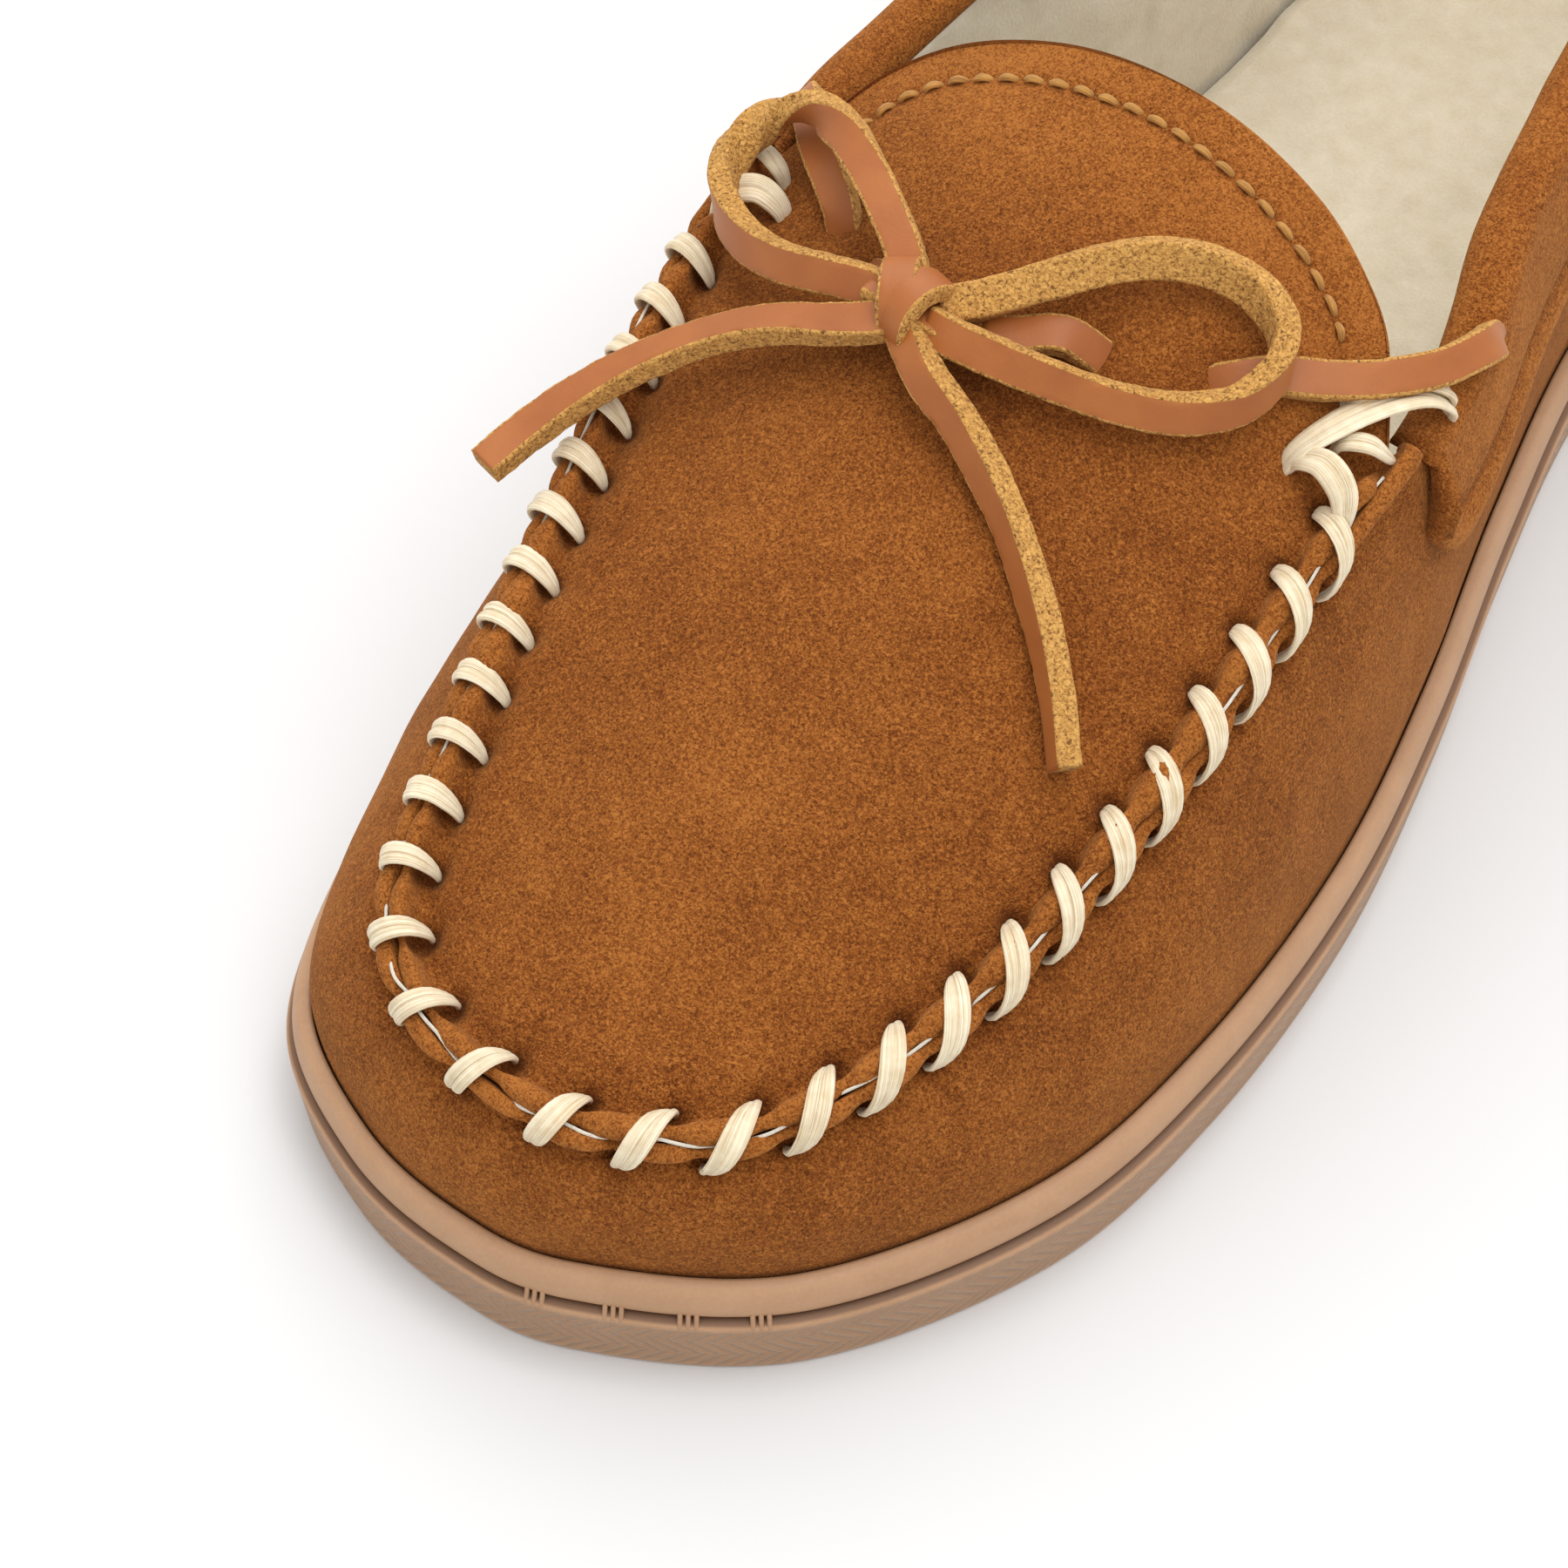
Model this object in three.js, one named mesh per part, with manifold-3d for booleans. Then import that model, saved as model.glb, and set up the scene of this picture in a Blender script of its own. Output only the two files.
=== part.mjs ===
// A left-foot moccasin slipper with a moulded rubber cup sole, pile lining and a thong bow.
// Millimetres, +Z up, +Y towards the toe, +X towards the inner (medial) side of the foot.
// The origin is the centre of the footprint on the ground.
import * as THREE from "three";
import { mergeVertices } from "three/addons/utils/BufferGeometryUtils.js";
import Module from "manifold-3d";

const wasm = await Module();
wasm.setup();

// ---------- driving dimensions ----------
const LENGTH = 288; // outsole, heel to toe
const WIDTH = 104; // outsole, across the ball of the foot
const SOLE_TOP = 15.8; // top of the sole's lip above the ground
const LIP_WIDTH = 3; // rubber lip seen round the suede
const LIP_HEIGHT = 4.2; // rounded lip above the moulded groove
const GROOVE_DEPTH = 1;
const GROOVE_HEIGHT = 1.2;
const SOLE_TAPER = 1.6; // how far the sidewall leans in at the ground
const CUP_FLOOR = 8; // rubber under the foot

const CLEARANCE = 0.3; // between pieces that touch
const SUEDE = 1.8; // suede with its backing
const PILE = 4; // lining pile
const PILE_TOP = 2.2; // lining pile where it is pressed flat at the top line
const APRON_PILE = 3; // lining pile under the apron
const BOARD = 1.5; // insole board
const FOAM = 6; // footbed foam
const SOCK = 4.5; // pile cover of the footbed
const COUNTER = 1.2; // heel stiffener
const COUNTER_HEIGHT = 52; // top of the stiffener above the ground
const COUNTER_REACH = 3.9; // stations each side of the heel's back
const BACKSTAY = 1.4; // strip over the back seam
const BACKSTAY_HALF_WIDTH = 0.62; // in outline stations

const RIDGE_HEIGHT = 3.4; // turned-up edges of the whipped seam
const RIDGE_LEAN = 35; // degrees that the ridge leans outwards
const THREAD = 1.6; // whip thread diameter
const PITCH_OUTER = 8.2; // from stitch to stitch along the outer side
const PITCH_TOE = 10.2;
const PITCH_INNER = 7;
const STITCH_LEVEL = 1.6; // holes above the foot of the ridge
const HOLE_SIDES = 6;
const SEAM_CORD = 0.7;
const TOPSTITCH = 0.7;
const TOPSTITCH_INSET = 6; // from the tongue's edge

const THONG_WIDTH = 4;
const THONG_THICKNESS = 2.2;
const CORD_DIAMETER = 3.6; // the thong's free ends and bow loops
const CUFF_DROP = 17; // outer leg of the cuff, down from the top line
const CUFF_INNER = 0.4; // how far the cuff's cut inner edge reaches down
const CUFF = 2; // cuff suede

// The arched top of the forefoot: height = spine height(y) - ARCH (x - ARCH_CENTRE) squared.
const ARCH = 0.0085;
const ARCH_CENTRE = 2.5;
const SPINE = [
  [-10, 84],
  [10, 79],
  [35, 71.5],
  [60, 63.5],
  [90, 52],
  [110, 43],
  [131.5, 32.4],
  [145, 25],
];

// Stations round the shoe, from the back of the heel along the outer side to the toe and back
// along the inner side. Each has the sole's outer edge and the top edge of the suede wrap; the
// last number is the wrap's height where it is a top line, and null where it meets the apron.
const STATIONS = [
  { sole: [0, -144], top: [0, -137, 77] },
  { sole: [-20, -138.5], top: [-15, -132.5, 76] },
  { sole: [-32.5, -122], top: [-24.5, -118, 74] },
  { sole: [-35.8, -97], top: [-27.5, -97, 71.5] },
  { sole: [-35, -67], top: [-27, -67, 69] },
  { sole: [-35, -38], top: [-27.5, -38, 67] },
  { sole: [-40.2, -9], top: [-31, -9, 63.5] },
  { sole: [-47, 20], top: [-37, 16, 57.5] },
  { sole: [-51.5, 48], top: [-36.8, 46, null] },
  { sole: [-51.5, 77], top: [-35.6, 75, null] },
  { sole: [-46.4, 103], top: [-31, 101, null] },
  { sole: [-30.6, 128.3], top: [-21, 122, null] },
  { sole: [-9, 141.6], top: [-7.5, 131.2, null] },
  { sole: [6, 143.9], top: [4.5, 132.8, null] },
  { sole: [22, 141], top: [17, 129.8, null] },
  { sole: [38, 131], top: [26.5, 121, null] },
  { sole: [46.2, 111.5], top: [31.2, 104, null] },
  { sole: [50.4, 86], top: [36, 82, null] },
  { sole: [51.9, 60], top: [40.6, 60, null] },
  { sole: [49.8, 34], top: [42.8, 37, null] },
  { sole: [45.6, 8], top: [43, 13, 58] },
  { sole: [40.5, -20], top: [37, -18, 64.5] },
  { sole: [37, -52], top: [30, -52, 68] },
  { sole: [36, -92], top: [28, -92, 71] },
  { sole: [32.5, -122], top: [24.5, -118, 74] },
  { sole: [20, -138.5], top: [15, -132.5, 76] },
];
const FRONT_TOP = 56.5; // top line's height where the cuff ends
const TURN = STATIONS.length;
const SEAM_START = 7.4; // station where the whipped seam begins, outer side
const SEAM_END = 19.35; // station where it ends, inner side
const SEAM_FADE = 0.12; // stations over which the ridge dies away behind the seam's ends
const CUFF_FRONT_OUTER = 7.24;
const CUFF_FRONT_INNER = 19.62;
const LINING_JOIN_OUTER = 7.2; // where the forefoot lining meets the rear lining
const LINING_JOIN_INNER = 19.55;

// The tongue's free edge in plan, from the inner end of the seam to the outer one.
const TONGUE_EDGE = [
  [39.8, 23],
  [36, 17],
  [30, 12.7],
  [18, 9.7],
  [4, 9],
  [-10, 10.3],
  [-22, 13.2],
  [-30, 17.3],
  [-33.8, 22],
];

// ---------- small maths ----------
const lerp = (a, b, t) => a + (b - a) * t;
const clamp01 = (t) => Math.min(1, Math.max(0, t));
const smooth = (a, b, t) => {
  const s = clamp01((t - a) / (b - a));
  return s * s * (3 - 2 * s);
};

// Catmull-Rom interpolation of a closed list of number arrays at station u.
function around(list, u) {
  const n = list.length;
  const w = ((u % n) + n) % n;
  const i = Math.floor(w);
  const t = w - i;
  const p = [-1, 0, 1, 2].map((k) => list[(i + k + n) % n]);
  return p[0].map((_, c) => {
    const [a, b, d, e] = p.map((q) => q[c]);
    const ta = (d - a) / 2;
    const tb = (e - b) / 2;
    const t2 = t * t;
    const t3 = t2 * t;
    return b * (2 * t3 - 3 * t2 + 1) + ta * (t3 - 2 * t2 + t) + d * (3 * t2 - 2 * t3) + tb * (t3 - t2);
  });
}

// Cubic through (y, z) knots with finite-difference slopes.
function spineHeight(y) {
  const n = SPINE.length;
  const slope = (i) => {
    const a = SPINE[Math.max(0, i - 1)];
    const b = SPINE[Math.min(n - 1, i + 1)];
    return (b[1] - a[1]) / (b[0] - a[0]);
  };
  let i = 0;
  while (i < n - 2 && y > SPINE[i + 1][0]) i += 1;
  const [y0, z0] = SPINE[i];
  const [y1, z1] = SPINE[i + 1];
  const w = y1 - y0;
  const t = (y - y0) / w;
  const t2 = t * t;
  const t3 = t2 * t;
  const ends = z0 * (2 * t3 - 3 * t2 + 1) + z1 * (3 * t2 - 2 * t3);
  return ends + w * (slope(i) * (t3 - 2 * t2 + t) + slope(i + 1) * (t3 - t2));
}
const topHeight = (x, y) => spineHeight(y) - ARCH * (x - ARCH_CENTRE) ** 2;

// ---------- lines round the shoe ----------
// The stations are drawn for a sole of 288 by 104 mm; other sizes scale the plan.
const SCALE_Y = LENGTH / 288;
const SCALE_X = WIDTH / 104;
const SOLE_LIST = STATIONS.map((s) => [s.sole[0] * SCALE_X, s.sole[1] * SCALE_Y]);
const TOP_LIST = STATIONS.map((s) => [s.top[0] * SCALE_X, s.top[1] * SCALE_Y]);
const REAR_LIST = STATIONS.map((s) => [s.top[2] ?? FRONT_TOP]);
const archX = (x) => x / SCALE_X;
const archY = (y) => y / SCALE_Y;
const archHeight = (x, y) => topHeight(archX(x), archY(y));

const soleEdge = (u) => around(SOLE_LIST, u);
// Plan outline inset by d, along the outline's own normal.
function soleInset(u, d) {
  const [x, y] = soleEdge(u);
  const [xa, ya] = soleEdge(u - 0.02);
  const [xb, yb] = soleEdge(u + 0.02);
  const l = Math.hypot(xb - xa, yb - ya);
  return [x + ((yb - ya) / l) * d, y - ((xb - xa) / l) * d];
}
// 1 where the wrap meets the apron, 0 where it is a top line.
function front(u) {
  const w = ((u % TURN) + TURN) % TURN;
  return smooth(SEAM_START - SEAM_FADE, SEAM_START, w) * (1 - smooth(SEAM_END, SEAM_END + SEAM_FADE, w));
}
function topEdge(u) {
  const [x, y] = around(TOP_LIST, u);
  return [x, y, lerp(around(REAR_LIST, u)[0], archHeight(x, y), front(u))];
}

// ---------- the suede wall's section at a station ----------
// The section's points are [outward distance from the top edge, height]. Where the foot of the
// wall lies further on along the shoe than its top, the section slides along as it goes down.
const WALL_STEPS = 6;
function section(u) {
  const foot = soleInset(u, LIP_WIDTH + CLEARANCE);
  const top = topEdge(u);
  const out = soleInset(u, -1).map((v, i) => v - soleEdge(u)[i]);
  const away = [foot[0] - top[0], foot[1] - top[1]];
  const reach = away[0] * out[0] + away[1] * out[1];
  const slide = [away[0] - reach * out[0], away[1] - reach * out[1]];
  const f = front(u);
  const lean = THREE.MathUtils.degToRad(lerp(-20, RIDGE_LEAN, f));
  const ridge = [Math.sin(lean), Math.cos(lean)];
  const side = [Math.cos(lean), -Math.sin(lean)];
  return { top, reach, out, slide, f, ridge, side };
}
// The wall's outer line from below the lip up to the foot of the ridge: a cubic Bezier that
// leaves the lip upright, bulges a little and leans in to the top edge.
function wallLine(s) {
  const half = CLEARANCE / 2 + SUEDE;
  const end = [s.side[0] * half, s.top[2] + s.side[1] * half];
  const rise = end[1] - SOLE_TOP;
  const bulge = lerp(2.2, 1.2, s.f);
  const c1 = [s.reach + bulge, SOLE_TOP + 0.45 * rise];
  const c2 = [lerp(end[0], s.reach, 0.45) + bulge / 2, end[1] - 0.16 * rise];
  const points = [[s.reach, CUP_FLOOR + CLEARANCE]];
  for (let i = 0; i <= WALL_STEPS; i += 1) {
    const t = i / WALL_STEPS;
    const k = [(1 - t) ** 3, 3 * t * (1 - t) ** 2, 3 * t * t * (1 - t), t ** 3];
    points.push([
      k[0] * s.reach + k[1] * c1[0] + k[2] * c2[0] + k[3] * end[0],
      k[0] * SOLE_TOP + k[1] * c1[1] + k[2] * c2[1] + k[3] * end[1],
    ]);
  }
  return points;
}
// A copy of a section line moved inwards by d, mitred at its corners.
function insetLine(line, d) {
  const normals = line.slice(1).map(([x, z], i) => {
    const dx = x - line[i][0];
    const dz = z - line[i][1];
    const l = Math.hypot(dx, dz);
    return [-dz / l, dx / l];
  });
  return line.map(([x, z], i) => {
    const a = normals[Math.max(0, i - 1)];
    const b = normals[Math.min(normals.length - 1, i)];
    const k = d / (1 + a[0] * b[0] + a[1] * b[1]);
    return [x + (a[0] + b[0]) * k, z + (a[1] + b[1]) * k];
  });
}
function place(s, [d, z]) {
  const down = clamp01((s.top[2] - z) / (s.top[2] - SOLE_TOP));
  const [x, y] = [0, 1].map((i) => s.top[i] + s.out[i] * d + s.slide[i] * down);
  return new THREE.Vector3(x, y, z);
}

// ---------- solids from rings of points ----------
// Joins equal rings of points into one closed body: round the loop, or with capped ends.
function loft(rings, closed) {
  const n = rings.length;
  const m = rings[0].length;
  const at = [];
  rings.forEach((ring) => ring.forEach((p) => at.push(p.x, p.y, p.z)));
  const faces = [];
  const last = closed ? n : n - 1;
  for (let i = 0; i < last; i += 1) {
    const j = (i + 1) % n;
    for (let k = 0; k < m; k += 1) {
      const l = (k + 1) % m;
      faces.push(i * m + k, j * m + k, j * m + l, i * m + k, j * m + l, i * m + l);
    }
  }
  if (!closed) {
    capRing(rings[0], 0, faces, true);
    capRing(rings[n - 1], (n - 1) * m, faces, false);
  }
  return facingOut(at, faces);
}
// Fills a flat or nearly flat ring with triangles.
function capRing(ring, base, faces, flip) {
  const normal = new THREE.Vector3();
  ring.forEach((p, i) => {
    const q = ring[(i + 1) % ring.length];
    normal.add(new THREE.Vector3().crossVectors(p, q));
  });
  normal.normalize();
  const turn = new THREE.Quaternion().setFromUnitVectors(normal, new THREE.Vector3(0, 0, 1));
  const flat = ring.map((p) => {
    const q = p.clone().sub(ring[0]).applyQuaternion(turn);
    return new THREE.Vector2(q.x, q.y);
  });
  THREE.ShapeUtils.triangulateShape(flat, []).forEach(([a, b, c]) => {
    if (flip) faces.push(base + a, base + b, base + c);
    else faces.push(base + a, base + c, base + b);
  });
}
// Turns a closed body's faces outwards, going by the sign of its volume.
function facingOut(at, faces) {
  let volume = 0;
  for (let i = 0; i < faces.length; i += 3) {
    const [a, b, c] = faces.slice(i, i + 3).map((k) => new THREE.Vector3().fromArray(at, 3 * k));
    volume += a.dot(b.cross(c));
  }
  const g = new THREE.BufferGeometry();
  g.setAttribute("position", new THREE.Float32BufferAttribute(at, 3));
  if (volume < 0) {
    for (let i = 0; i < faces.length; i += 3) [faces[i + 1], faces[i + 2]] = [faces[i + 2], faces[i + 1]];
  }
  g.setIndex(faces);
  return g;
}
function solidOf(geometry) {
  const g = geometry.clone();
  g.deleteAttribute("normal");
  g.deleteAttribute("uv");
  const merged = mergeVertices(g, 1e-4);
  const mesh = new wasm.Mesh({
    numProp: 3,
    vertProperties: merged.attributes.position.array,
    triVerts: new Uint32Array(merged.index.array),
  });
  return new wasm.Manifold(mesh);
}
function geometryOf(solid) {
  const mesh = solid.getMesh();
  const g = new THREE.BufferGeometry();
  g.setAttribute("position", new THREE.BufferAttribute(new Float32Array(mesh.vertProperties), 3));
  g.setIndex(new THREE.BufferAttribute(new Uint32Array(mesh.triVerts), 1));
  return g;
}
const cutBy = (geometry, tools) =>
  geometryOf(tools.reduce((solid, tool) => solid.subtract(solidOf(tool)), solidOf(geometry)));

// A path that a tube's rings follow at its own equal steps of parameter.
class StepPath extends THREE.Curve {
  constructor(pointAt) {
    super();
    this.pointAt = pointAt;
  }
  getPoint(t, target = new THREE.Vector3()) {
    return target.copy(this.pointAt(t));
  }
  getUtoTmapping(u) {
    return u;
  }
}
// Straight lines from point to point, with a tube ring at every point.
function joined(points) {
  const steps = points.length - 1;
  return new StepPath((t) => {
    const i = Math.min(steps - 1, Math.floor(t * steps + 1e-9));
    return points[i].clone().lerp(points[i + 1], t * steps - i);
  });
}
function roundShape(diameter, sides) {
  const shape = new THREE.Shape();
  for (let i = 0; i < sides; i += 1) {
    const a = ((i + 0.5) / sides) * 2 * Math.PI;
    const [x, y] = [(diameter / 2) * Math.cos(a), (diameter / 2) * Math.sin(a)];
    if (i === 0) shape.moveTo(x, y);
    else shape.lineTo(x, y);
  }
  return shape;
}
const tube = (path, diameter, sides, steps) =>
  new THREE.ExtrudeGeometry(roundShape(diameter, sides), { extrudePath: path, steps, bevelEnabled: false });

// A flat strap along points, its width lying square to each point's upward direction.
function strap(points, ups, width, thickness) {
  const rings = points.map((p, i) => {
    const ahead = points[Math.min(points.length - 1, i + 1)];
    const behind = points[Math.max(0, i - 1)];
    const along = ahead.clone().sub(behind).normalize();
    const across = new THREE.Vector3().crossVectors(along, ups[i]).normalize();
    const up = new THREE.Vector3().crossVectors(across, along);
    return [
      [-1, -1],
      [1, -1],
      [1, 1],
      [-1, 1],
    ].map(([a, b]) =>
      p
        .clone()
        .addScaledVector(across, (a * width) / 2)
        .addScaledVector(up, (b * thickness) / 2),
    );
  });
  return loft(rings, false);
}

// ---------- sole unit ----------
// The stations at which every layer has a ring of points, so that neighbours keep their gap:
// close together round the forefoot, wider apart round the heel.
const FOREFOOT_STEP = 0.25;
const HEEL_STEP = 0.5;
const RINGS = [
  ...stepsFrom(0, 7, HEEL_STEP),
  ...stepsFrom(7, 20, FOREFOOT_STEP),
  ...stepsFrom(20, TURN, HEEL_STEP),
  SEAM_START,
  SEAM_START - SEAM_FADE,
  SEAM_END,
  SEAM_END + SEAM_FADE,
].sort((a, b) => a - b);
function stepsFrom(from, to, step) {
  return Array.from({ length: Math.round((to - from) / step) }, (_, i) => from + i * step);
}
// Ring stations from one station to another, which may lie past the end of the turn.
function ringsBetween(from, to) {
  const all = [...RINGS.map((u) => u - TURN), ...RINGS, ...RINGS.map((u) => u + TURN)];
  const margin = 0.05;
  const inside = all.filter((u) => u > from + margin && u < to - margin);
  return [from, ...inside, to];
}
// A flat plate that fills the outline, inset by d, between two heights.
function plate(d, bottom, top) {
  const shape = new THREE.Shape(RINGS.map((u) => new THREE.Vector2(...soleInset(u, d))));
  const g = new THREE.ExtrudeGeometry(shape, { depth: top - bottom, bevelEnabled: false });
  return g.translate(0, 0, bottom);
}
// Outsole: rings from the centre of the underside out, up the sidewall, over the lip and down
// into the cup, closed by flat fans above and below.
function outsole() {
  const grooveTop = SOLE_TOP - LIP_HEIGHT;
  const rows = [
    [SOLE_TAPER + 0.8, 0],
    [SOLE_TAPER, 0.8],
    [SOLE_TAPER * 0.3, grooveTop - GROOVE_HEIGHT],
    [GROOVE_DEPTH, grooveTop - GROOVE_HEIGHT * 0.7],
    [GROOVE_DEPTH, grooveTop - GROOVE_HEIGHT * 0.3],
    [0.2, grooveTop],
    [0, grooveTop + LIP_HEIGHT * 0.35],
    [0.5, SOLE_TOP - 0.8],
    [1.5, SOLE_TOP - 0.1],
    [LIP_WIDTH, SOLE_TOP],
    [LIP_WIDTH, CUP_FLOOR],
  ];
  const at = [];
  rows.forEach(([d, z]) => RINGS.forEach((u) => at.push(...soleInset(u, d), z)));
  const faces = [];
  const n = RINGS.length;
  for (let r = 0; r < rows.length - 1; r += 1) {
    for (let i = 0; i < n; i += 1) {
      const j = (i + 1) % n;
      const [a, b, c, d] = [r * n + i, r * n + j, (r + 1) * n + j, (r + 1) * n + i];
      faces.push(a, c, b, a, d, c);
    }
  }
  // The outline runs clockwise from above; the flats' triangles run the other way round.
  const flat = (row) =>
    THREE.ShapeUtils.triangulateShape(
      RINGS.map((u) => new THREE.Vector2(...soleInset(u, rows[row][0]))),
      [],
    );
  flat(0).forEach(([a, b, c]) => faces.push(a, c, b));
  const top = (rows.length - 1) * n;
  flat(rows.length - 1).forEach(([a, b, c]) => faces.push(top + a, top + b, top + c));
  return facingOut(at, faces);
}
const WALL_GAP = LIP_WIDTH + CLEARANCE + SUEDE + CLEARANCE; // sole edge to the first inner layer
const FLOOR_GAP = WALL_GAP + PILE + COUNTER + 2 * CLEARANCE; // sole edge to the footbed
const BOARD_TOP = CUP_FLOOR + CLEARANCE + BOARD;
const FOAM_TOP = BOARD_TOP + CLEARANCE + FOAM;
const SOCK_TOP = FOAM_TOP + CLEARANCE + SOCK;

// ---------- suede wrap, stiffener and linings: bands between two insets of the wall ----------
const stationRange = (from, to, steps) =>
  Array.from({ length: steps + 1 }, (_, i) => lerp(from, to, i / steps));
// Extra inset of the rear lining where the stiffener lies behind it.
const counterRoom = (u) => {
  const w = ((u % TURN) + TURN) % TURN;
  const fromHeel = Math.min(w, TURN - w);
  return (COUNTER + CLEARANCE) * (1 - smooth(4.4, 5.4, fromHeel));
};
function wrapRing(u) {
  const s = section(u);
  const line = wallLine(s);
  line.push(wrapTop(s, line));
  return [...line, ...insetLine(line, SUEDE).reverse()].map((p) => place(s, p));
}
// The highest point of the wrap's outer line: the ridge in front, a cut edge behind.
const CUT_EDGE = 0.8;
function wrapTop(s, line) {
  const foot = line[line.length - 1];
  const rise = lerp(CUT_EDGE, RIDGE_HEIGHT, s.f);
  return [foot[0] + s.ridge[0] * rise, foot[1] + s.ridge[1] * rise];
}
// The point of a section line at height z.
function atHeight(points, z) {
  let i = 0;
  while (i < points.length - 2 && points[i + 1][1] < z) i += 1;
  const [p, q] = [points[i], points[i + 1]];
  return [lerp(p[0], q[0], clamp01((z - p[1]) / (q[1] - p[1]))), z];
}
// A band between insets a and b of the wall, from a lowest height up to a highest height. Its
// inner face draws in by the given amount towards the top.
const BAND_LEVELS = 6;
function bandRing(u, a, b, low, high, drawIn = 0) {
  const s = section(u);
  const line = wallLine(s);
  const [near, far] = [insetLine(line, a), insetLine(line, b)];
  const levels = stationRange(low, high, BAND_LEVELS);
  const outer = levels.map((z) => atHeight(near, z));
  const inner = levels.map((z) => {
    const [d] = atHeight(far, z);
    return [d + drawIn * smooth(low, high, z) ** 2, z];
  });
  return [...outer, ...inner.reverse()].map((p) => place(s, p));
}
const vampWrap = () => loft(RINGS.map(wrapRing), true);
const RIDGE_ROOM = 4.5; // the forefoot lining stops this far below the seam
function vampLining() {
  const inset = SUEDE + CLEARANCE;
  const rings = ringsBetween(LINING_JOIN_OUTER, LINING_JOIN_INNER).map((u) =>
    bandRing(u, inset, inset + PILE, BOARD_TOP + CLEARANCE, topEdge(u)[2] - RIDGE_ROOM),
  );
  return loft(rings, false);
}
const REAR_TOP_ROOM = 0.6;
const LINING_GAP = 0.03; // between the two linings, in stations
function quarterLining() {
  const from = LINING_JOIN_INNER + LINING_GAP - TURN;
  const rings = ringsBetween(from, LINING_JOIN_OUTER - LINING_GAP).map((u) => {
    const inset = SUEDE + CLEARANCE + counterRoom(u);
    const high = topEdge(u)[2] - REAR_TOP_ROOM;
    return bandRing(u, inset, inset + PILE, BOARD_TOP + CLEARANCE, high, PILE - PILE_TOP);
  });
  return loft(rings, false);
}
function heelCounter() {
  const inset = SUEDE + CLEARANCE;
  const rings = ringsBetween(-COUNTER_REACH, COUNTER_REACH).map((u) =>
    bandRing(u, inset, inset + COUNTER, BOARD_TOP + CLEARANCE, COUNTER_HEIGHT),
  );
  return loft(rings, false);
}
function heelBackstay() {
  const rings = ringsBetween(-BACKSTAY_HALF_WIDTH, BACKSTAY_HALF_WIDTH).map((u) => {
    const cuffHem = topEdge(u)[2] - CUFF_DROP;
    return bandRing(u, -CLEARANCE - BACKSTAY, -CLEARANCE, SOLE_TOP + CLEARANCE, cuffHem - CLEARANCE);
  });
  return loft(rings, false);
}

// ---------- collar cuff: folded over the top line, long outside and short inside ----------
const CUFF_LEVELS = 4;
function cuffRing(u) {
  const s = section(u);
  const line = wallLine(s);
  const levels = stationRange(s.top[2] - CUFF_DROP, s.top[2] - 0.5, CUFF_LEVELS);
  const legOut = levels.map((z) => atHeight(insetLine(line, -CLEARANCE - CUFF), z));
  const legIn = levels.map((z) => atHeight(insetLine(line, -CLEARANCE), z));
  const lining = SUEDE + CLEARANCE + counterRoom(u) + PILE_TOP + CLEARANCE;
  const edge = s.top[2] - CUFF_INNER;
  const [inner] = atHeight(insetLine(line, lining), edge);
  const crown = wrapTop(s, line)[1] + CLEARANCE;
  const [topOut] = legOut[legOut.length - 1];
  const [topIn] = legIn[legIn.length - 1];
  return [
    ...legOut,
    [topOut - 0.8, crown + CUFF * 0.7],
    [lerp(topOut, inner, 0.5), crown + CUFF],
    [inner - CUFF + 0.8, crown + CUFF * 0.7],
    [inner - CUFF * 0.6, edge],
    [inner, edge],
    [inner, crown],
    [topIn, crown],
    ...legIn.reverse(),
  ].map((p) => place(s, p));
}
const collarCuff = () =>
  loft(ringsBetween(CUFF_FRONT_INNER - TURN, CUFF_FRONT_OUTER).map(cuffRing), false);

// ---------- apron: the arched plug and tongue ----------
const SEAM_RINGS = ringsBetween(SEAM_START, SEAM_END);
const EDGE_STEPS = 16;
// The apron's edge: along the seam with its ridge, then round the tongue's free edge.
function apronEdge() {
  const seam = SEAM_RINGS.map((u) => {
    const s = section(u);
    return { base: place(s, [0, s.top[2]]), out: new THREE.Vector3(s.out[0], s.out[1], 0), rise: 1 };
  });
  const start = seam[0].base;
  const end = seam[seam.length - 1].base;
  const points = [
    end,
    ...TONGUE_EDGE.map(([x, y]) => new THREE.Vector3(x * SCALE_X, y * SCALE_Y, 0)),
    start,
  ];
  const curve = new THREE.CatmullRomCurve3(points.map((p) => new THREE.Vector3(p.x, p.y, 0)));
  const free = stationRange(0, 1, EDGE_STEPS)
    .slice(1, -1)
    .map((t) => {
      const p = curve.getPointAt(t);
      const along = curve.getTangentAt(t);
      const base = new THREE.Vector3(p.x, p.y, archHeight(p.x, p.y));
      return { base, out: new THREE.Vector3(-along.y, along.x, 0), rise: 0 };
    });
  return [...seam, ...free];
}
const EDGE = apronEdge();
const APRON_CENTRE = [2 * SCALE_X, 72 * SCALE_Y];
const APRON_RINGS = 5;
const lean = THREE.MathUtils.degToRad(RIDGE_LEAN);
const ridgeDir = (out) => out.clone().multiplyScalar(Math.sin(lean)).setZ(Math.cos(lean));
const sideDir = (out) => out.clone().multiplyScalar(Math.cos(lean)).setZ(-Math.sin(lean));
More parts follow.
